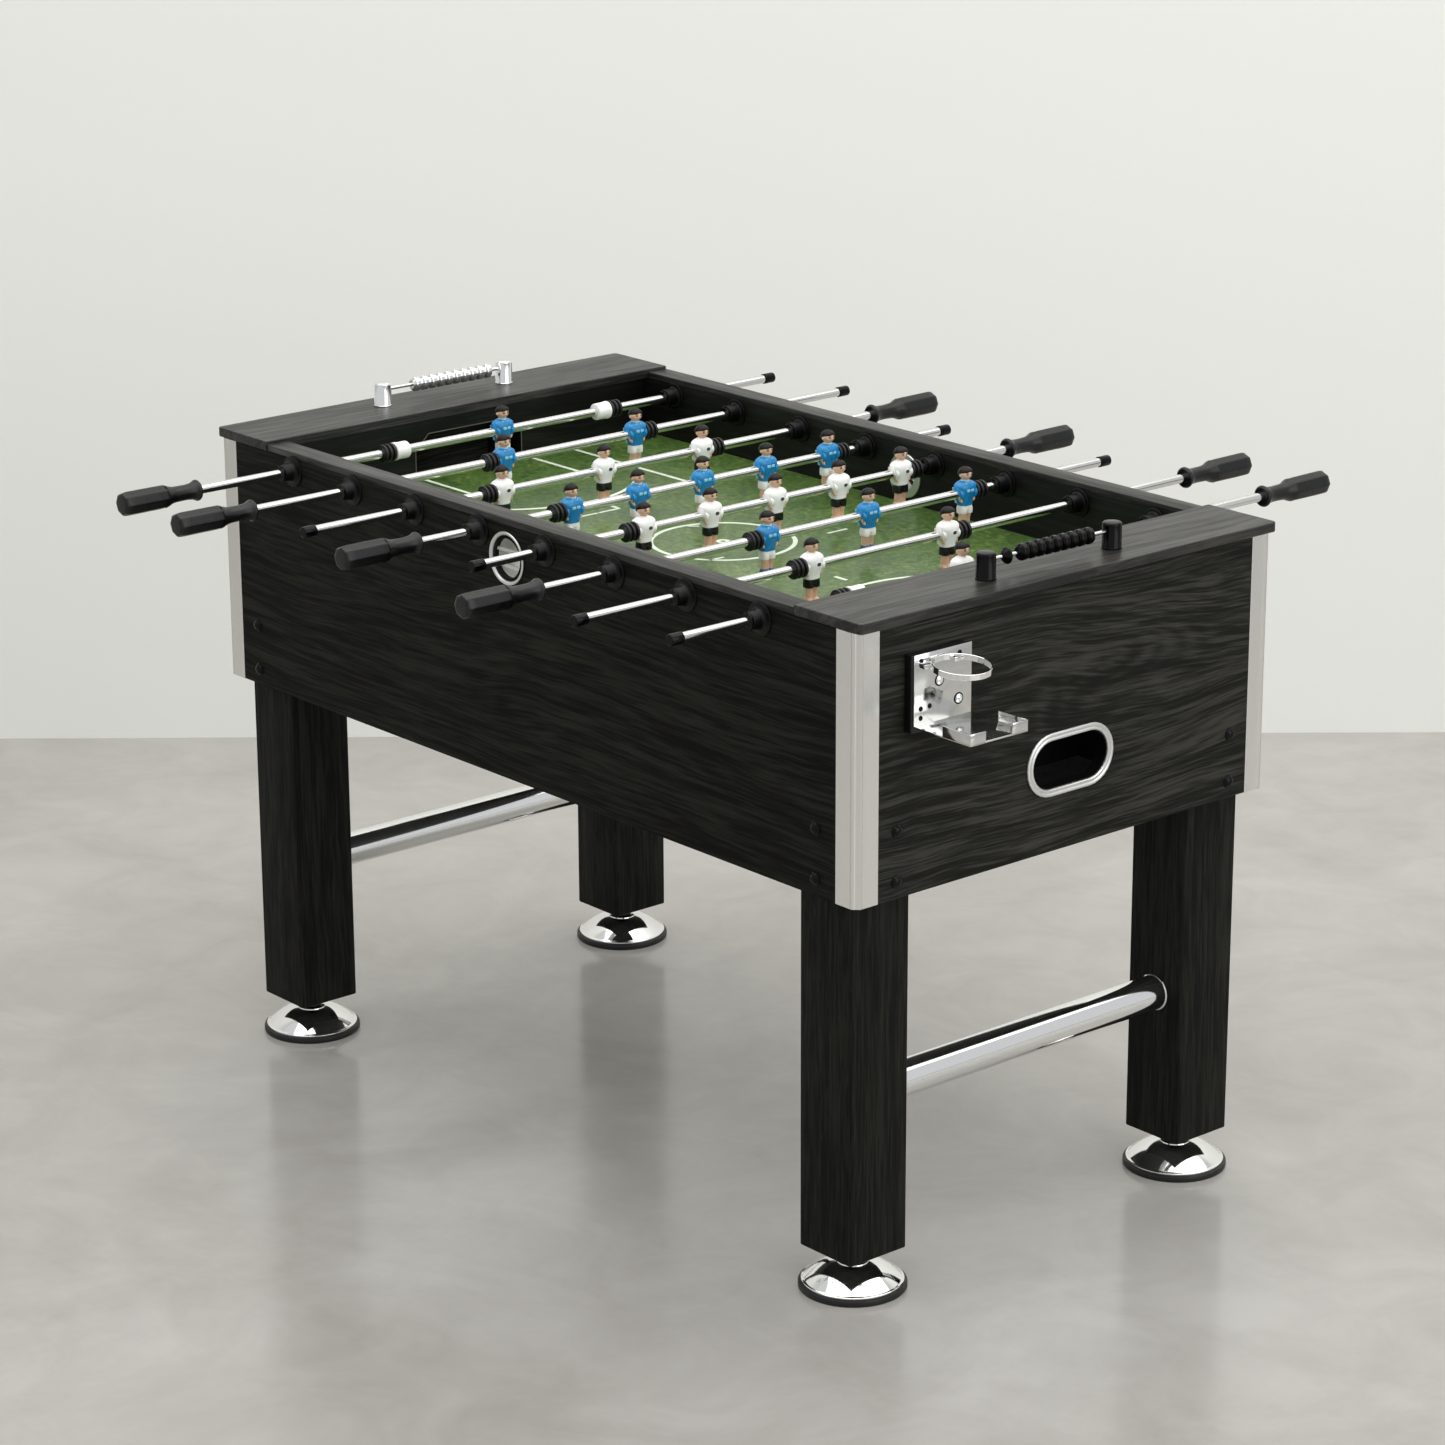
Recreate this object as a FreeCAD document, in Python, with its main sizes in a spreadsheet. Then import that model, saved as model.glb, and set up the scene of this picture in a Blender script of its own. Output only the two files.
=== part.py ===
"""Foosball table, full size.

Frame: origin on the floor below the centre of the playfield, +X along the
table's length, +Y across it (the playing rods lie along Y), +Z up.
All sizes are millimetres.  Driving sizes are in the spreadsheet "Dims".
"""
import FreeCAD, Part
import os
import re
import math
from FreeCAD import Vector, Rotation, Placement

doc = FreeCAD.newDocument("foosball_table")

# ------------------------------------------------------------------ driving sizes
DIMS = [
    # cabinet
    ("half_len", 686.0), ("half_wid", 369.6), ("board_wid", 122.5), ("board_thk", 13.4),
    ("board_top", 918.6), ("cab_low", 550.7), ("end_out", 677.8), ("side_out", 368.3),
    ("panel_thk", 18.0), ("rail_in", 334.0), ("cap_top", 914.6),
    ("field_top", 820.0), ("field_thk", 6.0), ("wall_face", 577.0), ("wall_thk", 15.0),
    ("base_low", 556.0), ("base_thk", 6.0),
    ("goal_half", 98.0), ("goal_top", 881.0), ("goal_cham", 24.0),
    ("trim_flange", 38.0), ("trim_thk", 1.3), ("trim_facet", 8.0),
    # legs, stretchers and feet
    ("leg_side", 97.0), ("leg_x", 601.3), ("leg_y", 300.0), ("leg_low", 54.6), ("leg_top", 700.0),
    ("tie_rad", 24.0), ("tie_z", 265.0), ("tie_wall", 2.0),
    ("foot_rad", 71.0), ("pad_tall", 9.0), ("dome_top", 36.0), ("dome_rad", 67.0), ("neck_rad", 15.0),
    ("stud_rad", 6.0), ("run_gap", 0.05), ("face_gap", 0.3),
    # rods and what is on them
    ("rod_z", 887.2), ("rod_pitch", 143.0), ("rod_rad", 6.35), ("rod_wall", 1.8),
    ("sleeve_rad", 9.0), ("sleeve_lip", 11.0), ("sleeve_bore_gap", 0.06),
    ("hous_rad", 12.0), ("hub_rad", 14.0), ("flange_rad", 22.0), ("flange_thk", 3.0),
    ("hub_out", 388.0), ("hub_in", 312.0),
    ("grip_len", 126.0), ("grip_rad", 16.0), ("waist_rad", 11.0), ("collar_rad", 15.0),
    ("cap_rad", 7.7), ("cap_len", 20.0),
    ("bump_rad", 13.0), ("bump_core", 9.5), ("bump_len", 21.0),
    ("stop_rad", 13.0), ("stop_len", 24.0),
    ("man_foot", 53.2), ("man_head", 36.3),
    ("pitch_five", 117.0), ("pitch_three", 181.0), ("pitch_two", 242.0), ("stop_off", 174.0),
    # fittings
    ("bolt_rad", 4.0), ("bolt_head", 9.0), ("bolt_dome", 5.5), ("bolt_low_z", 573.0), ("bolt_high_z", 639.0),
    ("ret_z", 668.0), ("ret_flat", 35.0), ("ret_rad", 33.5), ("ret_rim", 9.0), ("ret_proud", 4.0),
    ("serve_x", 10.0), ("serve_z", 860.0), ("serve_rad", 36.5), ("serve_bore", 21.0), ("serve_tube", 27.0),
    ("post_x", 635.0), ("post_y", 112.0), ("post_rad", 13.5), ("post_tall", 35.0),
    ("rail_z", 942.5), ("rail_rad", 2.5), ("bead_rad", 11.0), ("bead_len", 14.3),
    ("cup_y_low", -288.0), ("cup_y_high", -191.0), ("cup_z_low", 773.0), ("cup_z_high", 866.0),
    ("cup_face", 694.0), ("cup_front", 794.0), ("cup_thk", 2.5), ("cup_lip", 13.0),
    ("ring_rad", 40.0), ("ring_wall", 1.8), ("ring_z", 850.0), ("ring_tall", 8.0),
    ("batten_x", 230.0), ("batten_thk", 30.0), ("batten_tall", 70.0),
]
sheet = doc.addObject("Spreadsheet::Sheet", "Dims")
for row, (name, value) in enumerate(DIMS, start=1):
    sheet.set("A%d" % row, name)
    sheet.set("B%d" % row, "%g" % value)
    sheet.setAlias("B%d" % row, name)
doc.recompute()
V = dict(DIMS)
_alias = re.compile(r"\b(" + "|".join(sorted(V, key=len, reverse=True)) + r")\b")


def expr(text):
    """Spells an alias expression so that it reads the sheet."""
    return _alias.sub(r"Dims.\1", str(text))


def bind(obj, prop, text):
    if isinstance(text, (int, float)):
        text = "%g" % text
    obj.setExpression(prop, expr(text))


_n = [0]


def uname(stem):
    _n[0] += 1
    return "%s_%03d" % (stem, _n[0])


def place(obj, x, y, z, rot=None):
    if rot is not None:
        obj.Placement = Placement(Vector(0, 0, 0), rot)
    for axis, text in zip("xyz", (x, y, z)):
        bind(obj, "Placement.Base." + axis, text)
    return obj


def box(stem, lx, ly, lz, x, y, z):
    """A box from its lowest corner."""
    o = doc.addObject("Part::Box", uname(stem))
    for prop, text in (("Length", lx), ("Width", ly), ("Height", lz)):
        bind(o, prop, text)
    return place(o, x, y, z)


ALONG = {"z": None, "y": Rotation(Vector(1, 0, 0), -90), "x": Rotation(Vector(0, 1, 0), 90)}


def cyl(stem, rad, tall, x, y, z, along="z"):
    """A cylinder that starts at x, y, z and runs along + the named axis."""
    o = doc.addObject("Part::Cylinder", uname(stem))
    bind(o, "Radius", rad)
    bind(o, "Height", tall)
    return place(o, x, y, z, ALONG[along])


def cone(stem, rad1, rad2, tall, x, y, z, along="z"):
    o = doc.addObject("Part::Cone", uname(stem))
    bind(o, "Radius1", rad1)
    bind(o, "Radius2", rad2)
    bind(o, "Height", tall)
    return place(o, x, y, z, ALONG[along])


def ball(stem, rad, x, y, z):
    o = doc.addObject("Part::Sphere", uname(stem))
    bind(o, "Radius", rad)
    return place(o, x, y, z)


def fuse(stem, parts):
    o = doc.addObject("Part::MultiFuse", uname(stem))
    o.Shapes = parts
    return o


def group(stem, parts):
    """Separate solids that share one node."""
    o = doc.addObject("Part::Compound", uname(stem))
    o.Links = parts
    return o


def cut(stem, base, tools):
    o = doc.addObject("Part::Cut", uname(stem))
    o.Base = base
    if isinstance(tools, list):
        tools = group(stem + "_tools", tools) if len(tools) > 1 else tools[0]
    o.Tool = tools
    return o


NODES = []


def node(label, obj):
    obj.Label = label
    NODES.append((label, obj))
    return obj


def turned(obj_maker, sx):
    """Both ends of the table are alike, turned half round the vertical axis."""
    return obj_maker(sx)


def s(sign, text):
    """A signed expression."""
    return ("-(%s)" % text) if sign < 0 else "(%s)" % text


def low(sign, text, size):
    """Lowest corner of a box whose outer face is at sign*text and which reaches size inwards."""
    return "(%s) - (%s)" % (text, size) if sign > 0 else "-(%s)" % text


ROD_X = ["(%g)*rod_pitch" % (i - 3.5) for i in range(8)]
SIDES = ((-1, "front"), (1, "back"))
ENDS = ((1, "right"), (-1, "left"))

# ------------------------------------------------------------------ side panels
bolt_x = "leg_x+2"
sides = []
for sy, word in SIDES:
    slab = box("side_slab", "2*(end_out-panel_thk)", "panel_thk", "board_top-board_thk-cab_low",
               "-(end_out-panel_thk)", low(sy, "side_out", "panel_thk"), "cab_low")
    tools = [cyl("rod_hole", "hous_rad", "60", x, s(sy, "side_out") + "-30", "rod_z", "y") for x in ROD_X]
    tools.append(cyl("serve_hole", "serve_tube", "60", s(sy, "serve_x"), s(sy, "side_out") + "-30", "serve_z", "y"))
    for sx in (-1, 1):
        for z in ("bolt_low_z", "bolt_high_z"):
            tools.append(cyl("bolt_hole", "bolt_rad+0.5", "60", s(sx, bolt_x), s(sy, "side_out") + "-30", z, "y"))
    sides.append(cut("side_panel_" + word, slab, tools))
node("side_panels", group("side_panels", sides))

# ------------------------------------------------------------------ inner rails that carry the bearings
rails = []
for sy, word in SIDES:
    slab = box("rail_slab", "2*(end_out-panel_thk)", "side_out-panel_thk-rail_in", "board_top-board_thk-field_top",
               "-(end_out-panel_thk)", low(sy, "side_out-panel_thk", "side_out-panel_thk-rail_in"), "field_top")
    tools = [cyl("rod_hole", "hous_rad", "60", x, s(sy, "rail_in") + "-30", "rod_z", "y") for x in ROD_X]
    tools.append(cyl("serve_hole", "serve_tube", "60", s(sy, "serve_x"), s(sy, "rail_in") + "-30", "serve_z", "y"))
    rails.append(cut("inner_rail_" + word, slab, tools))
node("inner_rails", group("inner_rails", rails))

# ------------------------------------------------------------------ end panels
ends = []
for sx, word in ENDS:
    slab = box("end_slab", "panel_thk", "2*side_out", "board_top-board_thk-cab_low",
               low(sx, "end_out", "panel_thk"), "-side_out", "cab_low")
    x0 = s(sx, "end_out") + "-30"
    tools = [box("return_slot", "60", "2*ret_flat", "2*ret_rad", x0, "-ret_flat", "ret_z-ret_rad")]
    for sy in (-1, 1):
        tools.append(cyl("return_end", "ret_rad", "60", x0, s(sy, "ret_flat"), "ret_z", "x"))
        for z in ("bolt_low_z", "bolt_high_z"):
            tools.append(cyl("bolt_hole", "bolt_rad+0.5", "60", x0, s(sy, "leg_y"), z, "x"))
        # bevel of the vertical corner that the metal trim wraps: a square bar whose face lies along the bevel
        wedge = box("corner_bevel", 40, 40, 500, 0, 0, 0)
        wedge.Placement = Placement(Vector(0, 0, 0), Rotation(Vector(0, 0, 1), math.degrees(math.atan2(sy, sx))))
        place(wedge, s(sx, "end_out") + "%+.3f" % (-3.75 * sx + 28.2843 * sy * 0.5), s(sy, "side_out") + "%+.3f" % (-3.75 * sy - 28.2843 * sx * 0.5), "cab_low-50")
        tools.append(wedge)
    ends.append(cut("end_panel_" + word, slab, fuse("end_tools", tools)))
node("end_panels", group("end_panels", ends))

# ------------------------------------------------------------------ top boards: end boards and side caps
tops = []
for sx, word in ENDS:
    tops.append(box("end_board", "board_wid", "2*half_wid", "board_thk",
                    low(sx, "half_len", "board_wid"), "-half_wid", "board_top-board_thk"))
for sy, word in SIDES:
    tops.append(box("side_cap", "2*(half_len-board_wid)-0.4", "side_out-rail_in", "cap_top-(board_top-board_thk)",
                    "-(half_len-board_wid)+0.2", low(sy, "side_out", "side_out-rail_in"), "board_top-board_thk"))
node("top_boards", group("top_boards", tops))


# ------------------------------------------------------------------ goal walls, a padded profile each
def plane(body, role):
    return [f for f in body.Origin.OriginFeatures if f.Role == role][0]


def polygon_body(stem, pts, role, length_expr):
    """A PartDesign body: one closed polygon sketch, padded."""
    body = doc.addObject("PartDesign::Body", uname(stem))
    sk = body.newObject("Sketcher::SketchObject", uname(stem + "_sketch"))
    sk.AttachmentSupport = [(plane(body, role), "")]
    sk.MapMode = "FlatFace"
    count = len(pts)
    for i in range(count):
        a, b = pts[i], pts[(i + 1) % count]
        sk.addGeometry(Part.LineSegment(Vector(a[0], a[1], 0), Vector(b[0], b[1], 0)), False)
    import Sketcher
    for i in range(count):
        sk.addConstraint(Sketcher.Constraint("Coincident", i, 2, (i + 1) % count, 1))
    pad = body.newObject("PartDesign::Pad", uname(stem + "_pad"))
    pad.Profile = sk
    bind(pad, "Length", length_expr)
    body.Tip = pad
    return body


walls = []
hw, g, ft, gt, gc, top = V["rail_in"] - 0.3, V["goal_half"], V["field_top"], V["goal_top"], V["goal_cham"], V["board_top"] - V["board_thk"]
profile = [(-hw, ft), (-g, ft), (-g, gt - gc), (-g + gc, gt), (g - gc, gt), (g, gt - gc), (g, ft), (hw, ft), (hw, top), (-hw, top)]
for sx, word in ENDS:
    b = polygon_body("goal_wall", profile, "YZ_Plane", "wall_thk")
    place(b, low(sx, "wall_face+wall_thk", "wall_thk"), 0, 0)
    walls.append(b)
node("goal_walls", group("goal_walls", walls))

# ------------------------------------------------------------------ playfield board, cross battens and base board
node("playfield", box("playfield", "2*(wall_face+wall_thk)", "2*(side_out-panel_thk)", "field_thk",
                      "-(wall_face+wall_thk)", "-(side_out-panel_thk)", "field_top-field_thk"))
battens = [box("batten", "batten_thk", "2*(side_out-panel_thk)", "batten_tall",
               s(sx, "batten_x") + "-batten_thk/2", "-(side_out-panel_thk)", "field_top-field_thk-batten_tall")
           for sx in (-1, 1)]
base = box("base_slab", "2*(end_out-panel_thk)", "2*(side_out-panel_thk)", "base_thk",
           "-(end_out-panel_thk)", "-(side_out-panel_thk)", "base_low")
notches = [box("leg_notch", "leg_side+0.6", "leg_side+0.6", 40, s(sx, "leg_x") + "-leg_side/2-0.3",
               s(sy, "leg_y") + "-leg_side/2-0.3", "base_low-20") for sx in (-1, 1) for sy in (-1, 1)]
node("base_board", cut("base_board", base, notches))

# ------------------------------------------------------------------ ball chutes from goal to return opening
chutes = []
for sx, word in ENDS:
    x0 = "wall_face+wall_thk+0.2"
    depth = "(end_out-panel_thk)-(wall_face+wall_thk)-0.4"
    inner = "goal_half-0.2"
    parts = [
        box("chute_floor", depth, "2*(%s)+8" % inner, "6", low(sx, "end_out-panel_thk-0.2", depth), "-(%s)-4" % inner, "ret_z-ret_rad-8"),
        box("chute_back", "4", "2*(%s)+8" % inner, "(field_top-field_thk-0.5)-(ret_z-ret_rad-8)",
            "wall_face+wall_thk+0.2" if sx > 0 else "-(wall_face+wall_thk+4.2)", "-(%s)-4" % inner, "ret_z-ret_rad-8"),
    ]
    for sy in (-1, 1):
        parts.append(box("chute_cheek", depth, "4", "(board_top-board_thk-1)-(ret_z-ret_rad-8)",
                         low(sx, "end_out-panel_thk-0.2", depth), low(sy, inner + "+4", "4"), "ret_z-ret_rad-8"))
    chutes.append(fuse("ball_chute_" + word, parts))
node("ball_chutes", group("ball_chutes", chutes))

# ------------------------------------------------------------------ corner trims, one folded profile each
f, tk, c = V["trim_flange"], V["trim_thk"], V["trim_facet"]
ci = c + tk * (math.sqrt(2) - 1.0)
prof = [(-f, 0), (-c, 0), (0, -c), (0, -f), (-tk, -f), (-tk, -ci), (-ci, -tk), (-f, -tk)]
trims = []
for (sx, sy, ang) in ((1, 1, 0), (-1, 1, 90), (-1, -1, 180), (1, -1, 270)):
    b = polygon_body("corner_trim", prof, "XY_Plane", "board_top-board_thk-0.3-(cab_low-0.2)")
    b.Placement = Placement(Vector(0, 0, 0), Rotation(Vector(0, 0, 1), ang))
    place(b, s(sx, "end_out+trim_thk"), s(sy, "side_out+trim_thk"), "cab_low-0.2")
    trims.append(b)
node("corner_trims", group("corner_trims", trims))

# ------------------------------------------------------------------ legs
legs = []
for sx in (1, -1):
    for sy in (-1, 1):
        post = box("leg_post", "leg_side", "leg_side", "leg_top-leg_low",
                   s(sx, "leg_x") + "-leg_side/2", s(sy, "leg_y") + "-leg_side/2", "leg_low")
        tools = [cyl("stud_hole", "stud_rad+run_gap", 45, s(sx, "leg_x"), s(sy, "leg_y"), "leg_low-1")]
        for z in ("bolt_low_z", "bolt_high_z"):
            tools.append(cyl("bolt_pilot", "bolt_rad", 40, s(sx, bolt_x), (s(sy, "leg_y+leg_side/2") + ("-39" if sy > 0 else "-1")), z, "y"))
            tools.append(cyl("bolt_pilot", "bolt_rad", 40, (s(sx, "leg_x+leg_side/2") + ("-39" if sx > 0 else "-1")), s(sy, "leg_y"), z, "x"))
        legs.append(cut("leg", post, fuse("leg_tools", tools)))
node("legs", group("legs", legs))

# packing boards that fill the gap between each leg and its end panel
packs = []
for sx in (1, -1):
    for sy in (-1, 1):
        pb = box("packer", "(end_out-panel_thk)-(leg_x+leg_side/2)", "leg_side", "leg_top-(base_low+base_thk)-4",
                 low(sx, "end_out-panel_thk", "(end_out-panel_thk)-(leg_x+leg_side/2)"), s(sy, "leg_y") + "-leg_side/2", "base_low+base_thk+2")
        holes = [cyl("bolt_hole", "bolt_rad+0.5", 60, s(sx, "end_out") + "-30", s(sy, "leg_y"), z, "x")
                 for z in ("bolt_low_z", "bolt_high_z")]
        packs.append(cut("leg_packer", pb, holes))
node("inner_blocks", group("inner_blocks", battens + packs))

# ------------------------------------------------------------------ leg bolts with domed heads
bolts = []


def bolt(x, y, z, along, sign, reach):
    """Shank into the panel and leg; a dome of a larger ball outside."""
    parts = []
    r = V["bolt_head"]
    hgt = V["bolt_dome"]
    big = (r * r + hgt * hgt) / (2 * hgt)
    sx, sy = (sign, 0) if along == "x" else (0, sign)
    if along == "x":
        shank = cyl("shank", "bolt_rad", reach, x + ("-(%s)" % reach if sign > 0 else ""), y, z, "x")
        dome = ball("dome", "%g" % big, x + ("+" if sign > 0 else "-") + "(%g)" % (hgt - big), y, z)
        slab = box("dome_half", 20, 30, 30, x + ("-0" if sign > 0 else "-20"), y + "-15", z + "-15")
    else:
        shank = cyl("shank", "bolt_rad", reach, x, y + ("-(%s)" % reach if sign > 0 else ""), z, "y")
        dome = ball("dome", "%g" % big, x, y + ("+" if sign > 0 else "-") + "(%g)" % (hgt - big), z)
        slab = box("dome_half", 30, 20, 30, x + "-15", y + ("-0" if sign > 0 else "-20"), z + "-15")
    head = doc.addObject("Part::Common", uname("bolt_head"))
    head.Base = dome
    head.Tool = slab
    return fuse("leg_bolt", [shank, head])


for sx in (1, -1):
    for sy in (-1, 1):
        for z in ("bolt_low_z", "bolt_high_z"):
            bolts.append(bolt(s(sx, bolt_x), s(sy, "side_out"), z, "y", sy, "50"))
            bolts.append(bolt(s(sx, "end_out"), s(sy, "leg_y"), z, "x", sx, "60"))
node("leg_bolts", group("leg_bolts", bolts))

# ------------------------------------------------------------------ stretcher tubes between the legs of each end
ties = []
for sx in (1, -1):
    y0 = "-(leg_y-leg_side/2)"
    outer = cyl("tie_outer", "tie_rad", "2*(leg_y-leg_side/2)", s(sx, "leg_x"), y0, "tie_z", "y")
    inner = cyl("tie_bore", "tie_rad-tie_wall", "2*(leg_y-leg_side/2)+2", s(sx, "leg_x"), y0 + "-1", "tie_z", "y")
    ties.append(cut("stretcher", outer, inner))
node("stretchers", group("stretchers", ties))

# ------------------------------------------------------------------ levelling feet
pads, domes = [], []
CORNERS = ((1, -1, "front_right"), (1, 1, "back_right"), (-1, -1, "front_left"), (-1, 1, "back_left"))
for sx, sy, word in CORNERS:
    x, y = s(sx, "leg_x"), s(sy, "leg_y")
    pads.append(cyl("foot_pad", "foot_rad", "pad_tall", x, y, 0))
    skirt = cyl("dome_skirt", "dome_rad", 3, x, y, "pad_tall")
    low_cone = cone("dome_low", "dome_rad", "0.62*dome_rad", "(dome_top-pad_tall-3)*0.45", x, y, "pad_tall+3")
    high_cone = cone("dome_high", "0.62*dome_rad", "0.30*dome_rad", "(dome_top-pad_tall-3)*0.55", x, y, "pad_tall+3+(dome_top-pad_tall-3)*0.45")
    dome = fuse("dome", [skirt, low_cone, high_cone])
    domes.append(cut("leveller_dome", dome, cyl("dome_socket", "stud_rad+run_gap", 20, x, y, "dome_top-16")))
    parts = [
        cyl("stud_pin", "stud_rad", "face_gap+14", x, y, "dome_top-14"),
        cyl("stud_collar", "neck_rad", "leg_low-dome_top-2*face_gap", x, y, "dome_top+face_gap"),
        cyl("stud_thread", "stud_rad", "38+face_gap", x, y, "leg_low-face_gap"),
    ]
    node("foot_stud_" + word, fuse("foot_stud_" + word, parts))
node("leveller_pads", group("leveller_pads", pads))
node("leveller_domes", group("leveller_domes", domes))

# ------------------------------------------------------------------ bearings in the side panels
housings = []
for i, x in enumerate(ROD_X):
    for sy in (-1, 1):
        def span(a, b):
            """Start of a run along Y between |y| = a and |y| = b."""
            return ("(%s)" % a) if sy > 0 else "-(%s)" % b
        parts = [
            cyl("hous_body", "hous_rad", "(hub_out)-(hub_in)", x, span("hub_in", "hub_out"), "rod_z", "y"),
            cyl("hous_flange_out", "flange_rad", "flange_thk", x, span("side_out", "side_out+flange_thk"), "rod_z", "y"),
            cyl("hous_hub_out", "hub_rad", "hub_out-side_out", x, span("side_out", "hub_out"), "rod_z", "y"),
            cyl("hous_flange_in", "flange_rad-2", "flange_thk", x, span("rail_in-flange_thk", "rail_in"), "rod_z", "y"),
            cyl("hous_hub_in", "hub_rad-1", "rail_in-hub_in", x, span("hub_in", "rail_in"), "rod_z", "y"),
        ]
        bore = cyl("hous_bore", "sleeve_rad+run_gap", "(hub_out)-(hub_in)+2", x, span("hub_in-1", "hub_out+1"), "rod_z", "y")
        housings.append(cut("bearing_housing", fuse("housing", parts), bore))
node("bearing_housings", group("bearing_housings", housings))

# ------------------------------------------------------------------ rods
# number from the left end: side of the handle, man pitch word, count, centre of the men,
# handle end and cap end (the ends are where the rod stands in the modelled position)
RODS = [
    (-1, "goalie", 1, 4.0, 654.3, 530.7),
    (-1, "two", 2, 17.0, 660.5, 555.5),
    (1, "three", 3, -37.0, 597.8, 554.2),
    (-1, "five", 5, 24.0, 594.8, 495.2),
    (1, "five", 5, 33.0, 599.3, 490.7),
    (-1, "three", 3, 74.0, 615.6, 536.4),
    (1, "two", 2, -35.0, 665.5, 550.5),
    (1, "goalie", 1, -24.0, 668.9, 516.1),
]
for i, (side, word, count, mid, h_end, c_end) in enumerate(RODS):
    for key, value in (("grip_end", h_end), ("tip_end", c_end), ("mid", mid)):
        r = sheet_row = len(DIMS) + 2 + i * 3 + ("grip_end", "tip_end", "mid").index(key)
        alias = "%s_%s" % (key, "abcdefgh"[i])
        sheet.set("A%d" % r, alias)
        sheet.set("B%d" % r, "%g" % value)
        sheet.setAlias("B%d" % r, alias)
        V[alias] = value
doc.recompute()
_alias = re.compile(r"\b(" + "|".join(sorted(V, key=len, reverse=True)) + r")\b")


def along_y(side, start, size):
    """Start of a cylinder that begins at distance start from the middle on the given side and runs outwards."""
    return ("(%s)" % start) if side > 0 else "-(%s)-(%s)" % (start, size)


def tapered(stem, side, r_in, r_out, start, size, x):
    """A cone whose inner end (nearer the table) has radius r_in."""
    if side > 0:
        return cone(stem, r_in, r_out, size, x, "(%s)" % start, "rod_z", "y")
    return cone(stem, r_out, r_in, size, x, "-(%s)-(%s)" % (start, size), "rod_z", "y")


def man(stem, x, y):
    """A playing figure that faces +X: chest, head, hips and one block of legs and boots."""
    chest = doc.addObject("Part::Wedge", uname(stem + "_chest"))
    # the wedge narrows from shoulders to waist
    for prop, value in (("Xmin", -9), ("Ymin", -13), ("Zmin", -11), ("X2min", -9), ("Z2min", -13.5),
                        ("Xmax", 9), ("Ymax", 17), ("Zmax", 11), ("X2max", 9), ("Z2max", 13.5)):
        setattr(chest, prop, value)
    place(chest, x, y, "rod_z", Rotation(Vector(1, 0, 0), 90))
    hub = cyl(stem + "_hub", "rod_rad+3", 26, x, "(%s)-13" % y, "rod_z", "y")
    neck = cyl(stem + "_neck", 4.5, 8, x, y, "rod_z+15")
    head = ball(stem + "_head", 8.2, "(%s)+1" % x, y, "rod_z+man_head-8.2")
    hips = box(stem + "_hips", 16, 22, 18, "(%s)-8" % x, "(%s)-11" % y, "rod_z-28")
    leg = box(stem + "_legs", 11, 19, "man_foot-27", "(%s)-5.5" % x, "(%s)-9.5" % y, "rod_z-man_foot")
    boot = box(stem + "_boots", 17, 20, 12, "(%s)-6.5" % x, "(%s)-10" % y, "rod_z-man_foot")
    whole = fuse(stem, [chest, hub, neck, head, hips, leg, boot])
    return cut(stem, whole, cyl(stem + "_bore", "rod_rad", 40, x, "(%s)-20" % y, "rod_z", "y"))


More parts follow.
